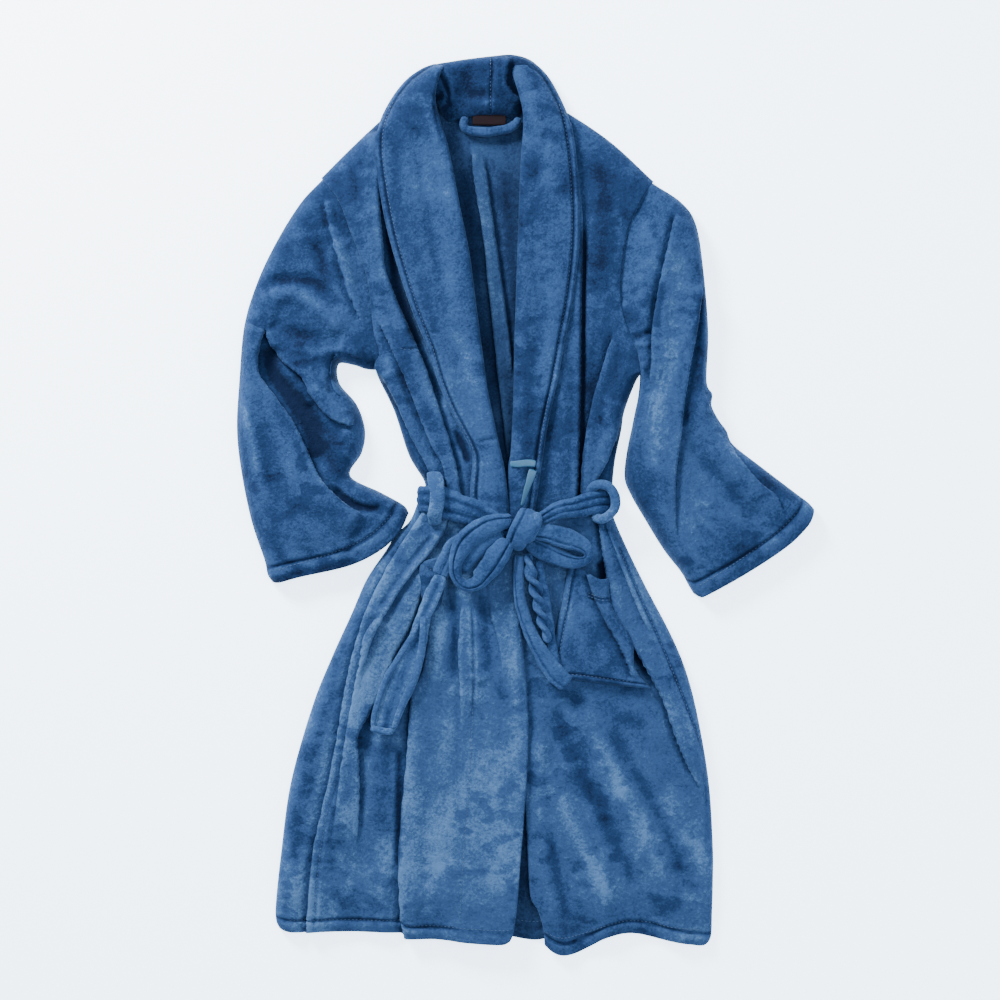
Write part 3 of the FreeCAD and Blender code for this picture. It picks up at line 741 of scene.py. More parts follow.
# ------------------------------------------------------------------ collar and lapels
def make_collar():
    out = Cloth()
    grid = patch(
        left=[(-128, 512), (-121, 500), (-112, 487), (-104, 473), (-94, 463)],
        right=[(28, 512), (17, 502), (4, 490), (-4, 478), (-11, 465)],
        top=[(-128, 512), (-116, 533), (-89, 539), (-44, 545), (-14, 547), (11, 537), (28, 512)],
        bottom=[(-94, 463), (-70, 470), (-43, 472), (-25, 471), (-11, 465)],
        fine=(EDGE, EDGE, TURN, EDGE), step=2.0)
    y = grid[..., 1]
    share = np.clip((540 - y) / 70, 0, 1)
    base = 32 - 23 * share ** 1.1
    folds = [
        seam([(-43, 543), (-41, 524), (-43, 500), (-43, 472)], 3.4, 2.2, 2.2),
        fold([(-118, 533), (-106, 517), (-97, 502), (-95, 488),
            (-104, 476)], 7.0, 12, -1, 4, (4, 6), 0.5),
        ridge([(-104, 526), (-89, 505), (-92, 483)], 4.0, 6, (6, 10)),
        ridge([(-107, 497), (-104, 490)], -5.0, 4, (3, 3)),
        fold([(-17, 536), (-23, 521), (-23, 507), (-15, 497), (-5, 489)], 7.5, 9, -1, 4, (6, 4), 0.6),
        ridge([(-34, 529), (-35, 507), (-31, 490)], 3.2, 5, (8, 8)),
        ridge([(-68, 533), (-70, 506), (-68, 481)], -2.6, 9, (8, 14)),
        ridge([(-77, 490), (-56, 484), (-32, 487), (-17, 483)], 2.4, 6), ridge([(-86, 500),
            (-56, 496), (-26, 495)], -1.8, 5),
    ]
    z = np.clip(raised(grid, base, folds, seed=41), 6.5, 38)
    # painted shade along the creases and a painted highlight along the raised folds, with light and dark
    # patches of the brushed pile
    tones = [ridge([(-89, 524), (-68, 507), (-46, 512)], -0.5, 12), ridge([(-68, 536),
        (-8, 536)], 0.3, 6),
             ridge([(-80, 497), (-32, 496)], -0.9, 6), ridge([(-77, 485), (-20, 483)], 0.4, 5),
             ridge([(-107, 497), (-104, 488)], -2.0, 6, (3, 3)), ridge([(-17, 524), (-20, 505),
                 (-8, 493)], -0.8, 5)]
    top = shell(out, grid, z, CLOTH, rolls=(11, 11, 16, None),
                shade=brushed_and_painted_shading(grid, tones, 42, -1.35, z, marks=0.3))
    thread(out, on_surface(top, [(-43, 538), (-43, 475)]))
    obj = piece("collar_back", out, PLUSH, THREAD, stands_for=("collar_right", "collar_left"))
    declare(obj, 0.13)


def make_lapel(name, edges, stitched, base, folds, tones, seed, level, node):
    out = Cloth()
    inner = (0, 0.6, 1.8, 3.6, 6.0)
    seamed = (0, 0.6, 1.8, 3.6, 5.6, 7.2, 8.4, 9.6, 11.2, 13)
    fine = (seamed, inner, TURN, EDGE) if stitched == 0 else (inner, seamed, TURN, EDGE)
    grid = patch(fine=fine, step=2.3, **edges)
    away = distances(grid)
    edge, turned = away[stitched], away[1 - stitched]
    z = raised(grid, base, folds, seed=seed, rough=0.9)
    groove = np.exp(-((edge - 8.4) / 1.7) ** 2)
    z = z - 3.4 * groove + 1.2 * np.exp(-((edge - 4) / 2.6) ** 2) - 2.0 * smooth((9 - edge) / 3)
    z = z + 2.5 * np.exp(-((turned - 12) / 10) ** 2)
    z = np.clip(z, 12, 39)
    y = grid[..., 1]
    around = 26 * smooth((y[:, :1] - 440) / 40)
    rolls = [None, None, 14, None]
    rolls[stitched] = around
    # painted shade along the groove of the stitched edge
    top = shell(out, grid, z, 9.0, rolls=rolls, low=5.0,
                shade=brushed_and_painted_shading(grid, tones, seed + 1, level, z, marks=0.5) - 0.9 * groove)
    column = int(np.argmin(abs(edge[len(edge) // 2] - 8.4)))
    thread(out, top[30:-12, column])
    obj = piece(name, out, PLUSH, THREAD, stands_for=(node,))
    declare(obj, 0.56)


LAPEL_RIGHT = dict(
    left=[(-111, 535), (-130, 527), (-149, 512), (-167, 487), (-179, 459), (-182, 422),
        (-173, 359), (-161, 308), (-140, 242), (-119, 190), (-107, 152), (-92, 116), (-71, 77),
        (-65, 56), (-68, 16), (-63, -11)],
    right=[(-97, 533), (-104, 515), (-109, 491), (-104, 464), (-93, 428), (-80, 362), (-68, 302),
        (-61, 248), (-53, 188), (-46, 136), (-39, 104), (-34, 80), (-26, 44), (-22, 8), (-20, -21)],
    bottom=[(-63, -11), (-44, -16), (-20, -21)])
LAPEL_LEFT = dict(
    left=[(-10, 537), (-17, 521), (-10, 497), (-4, 466), (-7, 416), (-9, 368), (-11, 308),
        (-13, 248), (-15, 188), (-16, 128), (-19, 68), (-22, 44), (-22, -19)],
    right=[(-1, 541), (14, 533), (28, 518), (41, 495), (51, 471), (57, 443), (61, 410), (64, 359),
        (63, 308), (56, 248), (46, 197), (37, 149), (26, 100), (19, 53), (8, -19)])


def make_lapels():
    make_lapel(
        "lapel_right", LAPEL_RIGHT, 0, 34.0,
        [ridge([(-122, 512), (-137, 476), (-142, 440), (-137, 380), (-123, 308)], 2.6, 16, (10, 60)),
         fold([(-97, 529), (-104, 514), (-103, 497), (-97, 483)], 3.0, 10, -1, 4, (4, 8)),
         fold([(-104, 507), (-112, 488), (-109, 458), (-99, 428)], 3.5, 8, -1, 3, (8, 20)),
         ridge([(-157, 452), (-155, 392), (-142, 320)], -2.0, 8, (30, 60)),
         ridge([(-130, 428), (-123, 368), (-109, 296), (-92, 224)], -1.6, 6),
         ridge([(-104, 356), (-89, 284), (-77, 212)], 2.0, 8), ridge([(-89, 200), (-77, 152),
             (-56, 98)], -1.4, 8),
         ridge([(-118, 326), (-111, 296), (-104, 272)], -1.6, 5), ridge([(-152, 428),
             (-147, 380)], 1.6, 6),
         seam([(-61, 77), (-49, 80), (-33, 82)], 2.8), ridge([(-51, 68), (-44, 20),
             (-39, -16)], 1.6, 9)],
        # painted shade along the creases and a painted highlight along the raised folds, with light and
        # dark patches of the brushed pile
        [ridge([(-146, 476), (-152, 416), (-147, 368)], -0.6, 12), ridge([(-137, 320),
            (-123, 260), (-104, 200)], -0.3, 9),
         ridge([(-122, 452), (-116, 392)], 0.4, 12), ridge([(-98, 296), (-80, 212),
             (-63, 140)], 0.6, 12),
         ridge([(-169, 464), (-171, 416)], -0.6, 8), ridge([(-58, 73), (-41, 8)], 0.4, 12),
         ridge([(-97, 488), (-104, 440)], -0.6, 7)],
        51, 0.0, "right_lapel")
    make_lapel(
        "lapel_left", LAPEL_LEFT, 1, 29.0,
        [ridge([(16, 500), (22, 452), (26, 392), (23, 320)], 2.4, 14, (10, 60)),
         ridge([(4, 476), (9, 404), (7, 320), (2, 224)], -1.6, 9, (30, 60)),
         ridge([(40, 308), (31, 224), (19, 140)], 1.8, 9), ridge([(26, 464), (17, 416),
             (8, 380)], -1.6, 6),
         ridge([(26, 368), (22, 284), (16, 212), (8, 128)], -1.3, 7), ridge([(17, 161),
             (16, 137)], -2.0, 4, (8, 8)),
         ridge([(11, 49), (5, 39), (2, 32)], -3.0, 7, (3, 6)),
         seam([(-19, 57), (-8, 56), (9, 56)], 1.6)],
        # painted shade along the creases and a painted highlight along the raised folds, with light and
        # dark patches of the brushed pile
        [ridge([(16, 494), (31, 470), (40, 440)], 0.5, 10), ridge([(14, 428), (4, 380)], -0.7, 10),
         ridge([(28, 380), (35, 320)], 0.2, 14), ridge([(-1, 212), (-1, 128), (-3, 68)], -0.5, 12),
         ridge([(10, 368), (9, 248)], 0.2, 12), ridge([(35, 212), (22, 128)], 0.3, 8),
         ridge([(-8, 32), (2, -4)], -0.2, 10)],
        61, -0.1, "left_lapel")


# ------------------------------------------------------------------ neck
def make_neck():
    out = Cloth()
    grid = patch(left=[(-96, 479), (-96, 471)], right=[(-14, 479), (-14, 471)], step=1.6)
    z = raised(grid, 8.2, rough=0.35, seed=71)
    shell(out, grid, z, 2.8, shade=-0.6)
    thread(out, np.array([(x, 474.8, 8.4) for x in np.arange(-94, -15, 2.0)]), 2.6, 1.0)
    obj = piece("neck_tape", out, PLUSH, THREAD, stands_for=("neck_band",))
    declare(obj, 0.082)
    out = Cloth()
    grid = patch(left=[(-65, 473), (-65, 460)], right=[(-24, 473), (-24, 460)], step=1.5)
    z = 9.4 + 0.4 * noise(grid[..., 0], grid[..., 1], 12, 72) - 0.16 * (473 - grid[..., 1])
    shell(out, grid, z, 0.9)
    thread(out, np.array([(x, 472.2, 9.7) for x in np.arange(-64, -25, 1.5)]), 2.0, 1.0, 0.35, 0.6)
    obj = piece("blank_label", out, LABEL, LABEL, stands_for=("neck_label",), slot="label")
    declare(obj, 0.041)
    out = Cloth()
    ribbon(out, [(-73, 470, 10.6), (-76, 461, 10.8), (-71, 454, 11.2), (-57, 451.6, 11.6),
                 (-40, 452, 11.6), (-24, 455, 11.4), (-13, 461, 11), (-9, 469, 10.6)],
           [9, 10, 11, 11.5, 11, 11.5, 11, 9], 10, creases=(), shade=0.1, seed=73, around=26)
    obj = piece("hanging_loop", out, PLUSH, THREAD, stands_for=("hanger_loop",), body="hanger")
    declare(obj, 0.09)


# ------------------------------------------------------------------ sleeves
def make_sleeve(name, edges, folds, tones, seed, nodes, bends, join, level, marks, base=27.0):
    out = Cloth()
    grid = patch(fine=(TURN, TURN, EDGE, hem(CUFF)), step=1.95, **edges)
    dt, db = distances(grid)[2:]
    start = join + (base - join) * smooth((dt - 4) / 46)
    z = raised(grid, start - 7 * smooth((55 - db) / 55), folds, seed=seed)
    z = z + 1.5 * hem_groove(db, CUFF)
    z = np.clip(z, 7, 35)
    grow = np.clip(0.45 + smooth(dt[:, :1] / 40), 0, 1)
    grid = overhang(grid, z)
    # painted shade along the cuff's line of stitching, and a painted highlight on the hem band between
    # the stitching and the edge
    top = shell(out, grid, z, 4.2, rolls=(22 * grow, 22 * grow, None, None),
                shade=brushed_and_painted_shading(grid, tones, seed + 1, level, z, marks=marks)
                - 0.7 * np.exp(-((db - CUFF) / 2) ** 2) + 0.4 * np.exp(-((db - CUFF + 6) / 5) ** 2))
    k = int(np.argmin(abs(db[:, db.shape[1] // 2] - CUFF)))
    thread(out, top[k, 8:-8])
    middle = grid.mean(axis=1, keepdims=True)
    wide = np.linalg.norm(grid - middle, axis=2, keepdims=True)
    lower = (middle + (grid - middle) * np.clip((wide - 1.2) / np.maximum(wide, 1), 0.2, 1))[6:]
    under = 4.2 + 0.25 * noise(lower[..., 0], lower[..., 1], 9, seed + 20)
    shell(out, lower, under, 3.6, low=2.4, shade=brushed_and_painted_shading(lower, (), seed + 30, -0.4))
    obj = piece(name, out, PLUSH, THREAD, stands_for=nodes, bends=bends)
    declare(obj, 0.5)


def make_sleeves():
    n = Vector((-0.9646, -0.2638, 0))
    at_hinge = Vector((-0.2423, 0.398, 0.030))
    make_sleeve(
        "sleeve_right",
        dict(left=[(-243, 399), (-272, 368), (-302, 320), (-326, 269), (-341, 218), (-347, 152),
            (-350, 92), (-344, 38), (-332, -19), (-317, -64), (-313, -82), (-307, -91)],
             right=[(-175, 165), (-193, 166), (-209, 171), (-227, 172), (-226, 149), (-205, 123),
                 (-195, 92), (-199, 65), (-213, 37), (-176, 17), (-149, 2), (-142, -8)],
             top=[(-243, 399), (-221, 368), (-206, 329), (-193, 293), (-184, 260), (-179, 212),
                 (-172, 185), (-175, 165)],
             bottom=[(-307, -91), (-298, -92), (-272, -85), (-212, -71), (-173, -51), (-151, -28),
                 (-142, -8)]),
        [fold([(-313, 214), (-320, 197), (-322, 161), (-302, 131), (-281, 101), (-266, 71),
            (-251, 38), (-233, 15), (-212, -2), (-193, -11)],
              9.0, 40, -1, 4.5, (8, 14), 0.5),
         ridge([(-310, 194), (-305, 161), (-284, 134), (-265, 104), (-250, 70),
             (-241, 44)], -11.0, 12, (12, 20)),
         fold([(-315, 212), (-296, 179), (-269, 155), (-260, 137), (-242, 113), (-224, 101),
             (-205, 97)], 7.0, 16, 1, 4, (10, 8), 0.5),
         ridge([(-250, 152), (-236, 128), (-212, 109)], 3.0, 7, (10, 10)),
         ridge([(-262, 128), (-245, 98), (-218, 85)], -5.0, 9, (10, 12)),
         ridge([(-245, 58), (-226, 49), (-209, 56)], -3.5, 9, (8, 8)),
         ridge([(-209, 27), (-185, 15), (-157, 1)], 5.0, 8, (6, 10)),
         ridge([(-236, 25), (-217, 9), (-197, -1), (-166, -4)], -6.0, 5, (16, 24)),
         fold([(-227, 185), (-235, 173), (-236, 157), (-231, 142),
             (-219, 128)], 4.0, 9, 1, 3.5, (6, 14), 0.6),
         fold([(-218, 185), (-209, 181), (-195, 177)], 2.6, 7, 1, 3, (4, 6), 0.6),
         ridge([(-233, 161), (-236, 147), (-231, 133)], -3.0, 5, (6, 6)),
         ridge([(-344, 140), (-332, 92), (-322, 44), (-310, -4)], 2.6, 8), ridge([(-317, 104),
             (-301, 44), (-281, -16)], -2.2, 12),
         fold([(-245, 373), (-241, 351), (-235, 325), (-224, 287), (-211, 248),
             (-197, 218)], 4.5, 13, 1, 5, (14, 20), 0.6),
         ridge([(-218, 337), (-205, 293), (-195, 248)], -1.8, 7),
         ridge([(-322, 255), (-310, 266), (-290, 273), (-263, 272), (-241, 257),
             (-218, 231)], -5.0, 8, (14, 20)),
         ridge([(-310, 250), (-278, 256), (-250, 238), (-218, 207)], 4.5, 9, (12, 16)),
         ridge([(-310, 220), (-278, 208), (-242, 200), (-218, 195)], -4.5, 9, (10, 14)),
         ridge([(-284, 194), (-260, 185), (-236, 185), (-212, 188)], 3.5, 8, (12, 12)),
         ridge([(-284, 350), (-272, 320), (-265, 293)], 2.5, 14), ridge([(-250, 332), (-245, 293),
             (-233, 262)], -2.5, 9),
         ridge([(-206, 181), (-190, 173), (-181, 171)], -3.0, 5, (6, 2)),
         ridge([(-272, 8), (-236, -26), (-197, -33)], -2.0, 12), ridge([(-290, 68), (-272, 20),
             (-248, -16)], 2.0, 10)],
        # painted shade along the creases and a painted highlight along the raised folds, with light and
        # dark patches of the brushed pile
        [ridge([(-313, 197), (-305, 161), (-284, 130), (-262, 98), (-243, 62)], -1.9, 14, (10, 16)),
         ridge([(-284, 142), (-257, 113), (-233, 85), (-212, 70)], -0.9, 11, (10, 12)),
         ridge([(-245, 80), (-233, 53), (-224, 29)], -1.0, 12, (10, 16)),
         ridge([(-236, 22), (-218, 8), (-197, -1), (-164, -5)], -1.5, 5, (20, 24)),
         ridge([(-224, 181), (-233, 166), (-233, 147)], -1.2, 5, (5, 6)), ridge([(-226, 178),
             (-209, 152), (-197, 125)], 0.6, 6, (8, 14)),
         ridge([(-317, 194), (-317, 158), (-296, 128), (-272, 89), (-257, 46),
             (-236, 17)], 0.8, 4, (6, 12)),
         ridge([(-344, 140), (-332, 92), (-320, 32), (-310, -4)], 0.8, 5), ridge([(-305, 253),
             (-272, 253), (-236, 226)], 0.8, 8),
         ridge([(-317, 262), (-290, 273), (-260, 271), (-230, 248)], -0.8, 8), ridge([(-308, 217),
             (-272, 206), (-236, 199)], -1.0, 9),
         ridge([(-250, 338), (-245, 293), (-231, 257)], -1.2, 10), ridge([(-229, 341),
             (-217, 298), (-202, 248)], 0.7, 7),
         ridge([(-278, 362), (-284, 332)], -0.3, 14), ridge([(-290, 80), (-266, 32),
             (-236, -10)], 0.5, 12),
         ridge([(-317, -16), (-296, -52)], -0.8, 10), ridge([(-266, -43), (-218, -38)], 0.3, 9),
         ridge([(-224, 326), (-236, 350)], -0.6, 9), ridge([(-284, 181), (-248, 173)], -0.3, 8)],
        81, ("right_sleeve", "right_cuff"),
        ("robe", "right_sleeve", at_hinge, at_hinge + n * 0.05), 17.5, -0.3, 0.85)
    n = Vector((0.9964, -0.0850, 0))
    at_hinge = Vector((0.1603, 0.392, 0.030))
    make_sleeve(
        "sleeve_left",
        dict(left=[(145, 176), (143, 154), (134, 125), (127, 92), (121, 62), (119, 34), (127, 13),
            (142, -13), (166, -52), (187, -79), (196, -95), (202, -105)],
             right=[(151, 392), (187, 368), (205, 341), (214, 287), (220, 212), (218, 152),
                 (225, 136), (224, 122), (233, 104), (242, 92), (250, 75), (283, 49), (325, 17),
                 (341, 5), (348, -3)],
             top=[(145, 176), (123, 202), (110, 236), (109, 281), (116, 329), (131, 365), (151, 392)],
             bottom=[(202, -105), (209, -109), (218, -107), (268, -79), (313, -49), (337, -26),
                 (345, -13), (348, -3)]),
        [fold([(179, 353), (170, 311), (161, 272), (154, 230), (151, 200), (151, 173),
            (146, 140)], 5.5, 18, 1, 4.5, (12, 24), 0.9),
         ridge([(148, 350), (140, 302), (136, 248), (136, 214)], 2.2, 9, (12, 16)),
         ridge([(127, 202), (136, 205), (151, 212)], -3.5, 4, (4, 4)), ridge([(129, 194),
             (142, 194), (151, 197)], 2.0, 3, (3, 3)),
         fold([(212, 272), (205, 218), (196, 170), (189, 128), (184, 80), (179, 44), (179, -7),
             (184, -64)], 7.0, 24, -1, 4, (14, 120), 0.5),
         ridge([(191, 99), (208, 62), (232, 29), (263, -2), (283, -28)], -5.0, 9, (14, 24)),
         ridge([(208, 146), (218, 104), (235, 65), (259, 32), (283, -2)], 3.2, 11, (20, 24)),
         fold([(242, 85), (254, 61), (280, 29), (301, 11),
             (313, -19)], 4.5, 20, -1, 4, (12, 40), 0.4),
         ridge([(215, 140), (221, 130), (227, 133)], -3.0, 4, (3, 2)), ridge([(227, 94),
             (235, 89), (242, 93)], -2.6, 4, (3, 2)),
         ridge([(136, 104), (142, 44), (160, -16)], -2.0, 9), ridge([(160, 152), (155, 80),
             (163, 8), (179, -46)], 2.2, 11),
         ridge([(196, 56), (208, 8), (227, -40)], -2.4, 12), ridge([(196, 338), (203, 293)], 2.4, 9),
         ridge([(170, 266), (165, 212), (160, 152)], 1.8, 9)],
        # painted shade along the creases and a painted highlight along the raised folds, with light and
        # dark patches of the brushed pile
        [ridge([(136, 350), (130, 284), (134, 230)], 0.2, 9), ridge([(170, 362),
            (184, 338)], -0.8, 10),
         ridge([(154, 332), (146, 260)], 0.4, 10), ridge([(163, 272), (154, 212)], -1.3, 5, (8, 8)),
         ridge([(184, 320), (175, 248), (170, 176), (155, 92), (151, 32)], 0.7, 12),
         ridge([(213, 260), (208, 212), (205, 164), (196, 122), (191, 92)], -1.6, 7, (14, 14)),
         ridge([(196, 92), (215, 53), (244, 17), (275, -19)], -0.7, 9), ridge([(196, 44),
             (208, -16), (223, -52)], 0.4, 14),
         ridge([(226, 116), (239, 74), (271, 32), (290, 2)], 0.4, 8), ridge([(262, 53), (292, 29),
             (316, 8)], -1.0, 8),
         ridge([(148, -22), (170, -58)], -0.3, 9), ridge([(127, 194), (143, 185)], 0.5, 5),
         ridge([(232, -64), (292, -40)], -0.4, 8)],
        91, ("left_sleeve", "left_cuff"),
        ("robe", "left_sleeve", at_hinge, at_hinge + n * 0.05), 14.5, 0.05, 0.5)


# ------------------------------------------------------------------ skirts
def make_right_skirt():
    out = Cloth()
    grid = patch(
        left=[(-128, 15), (-140, -16), (-157, -33), (-171, -55), (-193, -88), (-212, -131),
            (-236, -184), (-259, -242), (-285, -334), (-297, -421), (-303, -478), (-303, -499),
            (-299, -509)],
        right=[(-22, -11), (-19, -28), (-15, -52), (-13, -82), (-10, -112), (-5, -160), (1, -232),
            (2, -292), (-3, -376), (-7, -424), (-11, -478), (-16, -513), (-20, -523)],
        top=[(-128, 15), (-98, 11), (-62, -2), (-22, -11)],
        bottom=[(-299, -509), (-289, -513), (-272, -514), (-218, -513), (-152, -515),
            (-146, -521), (-104, -521), (-68, -525), (-31, -527), (-20, -523)],
        fine=(TURN, EDGE, EDGE, hem(SKIRT)), step=1.95)
    db = distances(grid)[3]
    x, y = grid[..., 0], grid[..., 1]
    over = smooth((x + 120) / 40)
    folds = [
        fold([(-121, -2), (-140, -31), (-164, -69), (-188, -117), (-205, -167), (-217, -220),
            (-229, -292), (-243, -358), (-257, -424), (-265, -509)], 6.5, 17, 1, 4, (4, 0), 0.7),
        fold([(-88, -2), (-101, -33), (-116, -55), (-135, -76), (-157, -107), (-171, -131),
            (-183, -153), (-195, -189), (-205, -232)], 7.0, 15, -1, 4.5, (4, 90), 0.6),
        ridge([(-111, -33), (-140, -69), (-161, -100), (-176, -124)], -3.2, 4, (8, 8)),
        fold([(-176, -129), (-193, -153), (-200, -187), (-209, -232), (-219, -292), (-227, -352),
            (-236, -412)], 4.5, 17, 1, 4, (8, 60), 0.6),
        fold([(-116, -64), (-128, -107), (-139, -140), (-157, -175), (-171, -213), (-187, -245),
            (-203, -275), (-202, -307), (-201, -352), (-203, -424)], 7.0, 30, -1, 4.5, (30, 90), 0.7),
        ridge([(-166, -227), (-181, -259), (-193, -287), (-193, -316)], -4.0, 8, (12, 30)),
        fold([(-113, -107), (-122, -189), (-136, -220), (-140, -256), (-143, -302), (-148, -352),
            (-153, -421), (-152, -478), (-149, -525)], 9.0, 55, 1, 4, (24, 0), 0.35),
        fold([(-83, -76), (-80, -112), (-80, -148), (-82, -172), (-80, -220),
            (-79, -304)], 5.0, 30, 1, 4, (20, 120), 0.9),
        fold([(-51, -76), (-44, -127), (-37, -153), (-31, -187),
            (-26, -280)], 4.5, 30, 1, 4, (20, 110), 0.9),
        ridge([(-104, -112), (-104, -172), (-109, -232)], 3.0, 9, (10, 40)),
        ridge([(-17, -100), (-11, -184), (-8, -280)], 2.4, 7, (10, 60)),
        seam([(-65, -112), (-63, -205), (-67, -302), (-70, -352), (-76, -421),
            (-82, -523)], 2.4, 2.0, 0.5),
        seam([(-224, -302), (-231, -340), (-241, -376), (-250, -433), (-256, -508)], 2.6, 2.0, 1.4),
        ridge([(-224, -352), (-212, -406), (-193, -434),
            (-171, -463)], 2.4, 9), ridge([(-209, -328), (-197, -388), (-185, -448)], -2.2, 11),
        ridge([(-68, -199), (-56, -208), (-41, -199)], 2.2, 5, (6, 6)), ridge([(-63, -213),
            (-49, -225), (-32, -232)], -1.6, 6, (8, 8)),
        ridge([(-104, -304), (-99, -412), (-104, -508)], 2.0, 18, (40, 0)), ridge([(-134, -280),
            (-135, -388), (-137, -508)], 1.6, 8, (40, 0)),
        ridge([(-44, -256), (-41, -376), (-49, -508)], -1.8, 13, (60, 0)), ridge([(-272, -400),
            (-279, -472), (-281, -509)], 2.6, 9, (40, 0)),
        ridge([(-205, -400), (-209, -460), (-205, -513)], -2.4, 12, (40, 0)), ridge([(-169, -412),
            (-173, -472), (-171, -514)], 2.4, 9, (40, 0)),
        ridge([(-32, -424), (-34, -472), (-35, -525)], 1.8, 8, (30, 0)),
    ]
    z = raised(grid, 21.0 - 2.5 * smooth((-y - 300) / 200) * (1 - over), folds, seed=101)
    z = z - 7 * (1 - over) * smooth((60 - db) / 60) - 3 * over * smooth((60 - db) / 60)
    z = z + 1.3 * hem_groove(db, SKIRT) + 1.6 * np.sin(x / 17) * smooth((40 - db) / 40)
    z = np.clip(z, 7 + 18.5 * over, 38)
    # painted shade along the creases and a painted highlight along the raised folds, with light and dark
    # patches of the brushed pile
    tones = [ridge([(-153, -286), (-154, -352), (-155, -436)], -2.6, 4, (14, 14)),
             ridge([(-185, -235), (-195, -274), (-197, -295)], -2.0, 8, (8, 8)),
             ridge([(-113, -112), (-123, -196), (-139, -232),
                 (-142, -292)], -1.0, 5), ridge([(-152, -64), (-176, -100), (-193, -136)], 0.5, 9),
             ridge([(-157, -52), (-185, -100), (-209, -160),
                 (-229, -232)], 0.3, 7), ridge([(-185, -88), (-224, -184), (-250, -268),
                 (-269, -352), (-284, -448)], -0.9, 11),
             ridge([(-98, -232), (-104, -328), (-116, -448)], 0.35, 13), ridge([(-25, -136),
                 (-15, -232), (-15, -328)], 0.5, 8),
             ridge([(-38, -280), (-32, -376), (-39, -472)], 0.3, 12), ridge([(-181, -160),
                 (-200, -220), (-209, -280)], 0.6, 8),
             ridge([(-208, -340), (-212, -412)], 0.7, 12), ridge([(-58, -82), (-51, -148),
                 (-44, -220)], -1.3, 9), ridge([(-77, -100), (-75, -160), (-75, -220)], -0.7, 7),
             ridge([(-91, -88), (-88, -160), (-92, -220)], -1.6, 7), ridge([(-230, -400),
                 (-200, -460), (-193, -496)], 0.6, 12),
             ridge([(-171, -274), (-172, -328),
                 (-172, -412)], -1.3, 15, (20, 40)), ridge([(-82, -256), (-89, -352)], -0.4, 8),
             ridge([(-58, -304), (-32, -307), (-14, -316)], -0.6, 6), ridge([(-116, 8),
                 (-128, -16)], -0.6, 8)]
    grid = overhang(grid, z)
    # painted shade along the hem's line of stitching
    top = shell(out, grid, z, CLOTH, rolls=(18, None, None, None),
                shade=brushed_and_painted_shading(grid, tones, 102, 0.8, z, marks=0.65) - 0.7 * np.exp(-((db - SKIRT) / 2) ** 2))
    k = int(np.argmin(abs(db[:, db.shape[1] // 2] - SKIRT)))
    thread(out, top[k, 8:-4])
    thread(out, on_surface(top, [(-229, -331), (-241, -376), (-250, -433), (-255, -490)]))
    thread(out, on_surface(top, [(-64, -172), (-63, -205), (-67, -302), (-70, -352), (-76, -421),
        (-80, -496)]))
    obj = piece("skirt_right", out, PLUSH, THREAD, stands_for=(
        "right_facing_upper", "right_facing_lower", "right_front_corner", "right_hem_band",
        "right_hem_corner"),
        bends=("robe", "right_corner", (-0.008, -0.180, 0.022), (0.030, -0.1926, 0.022)))
    declare(obj, 0.52)


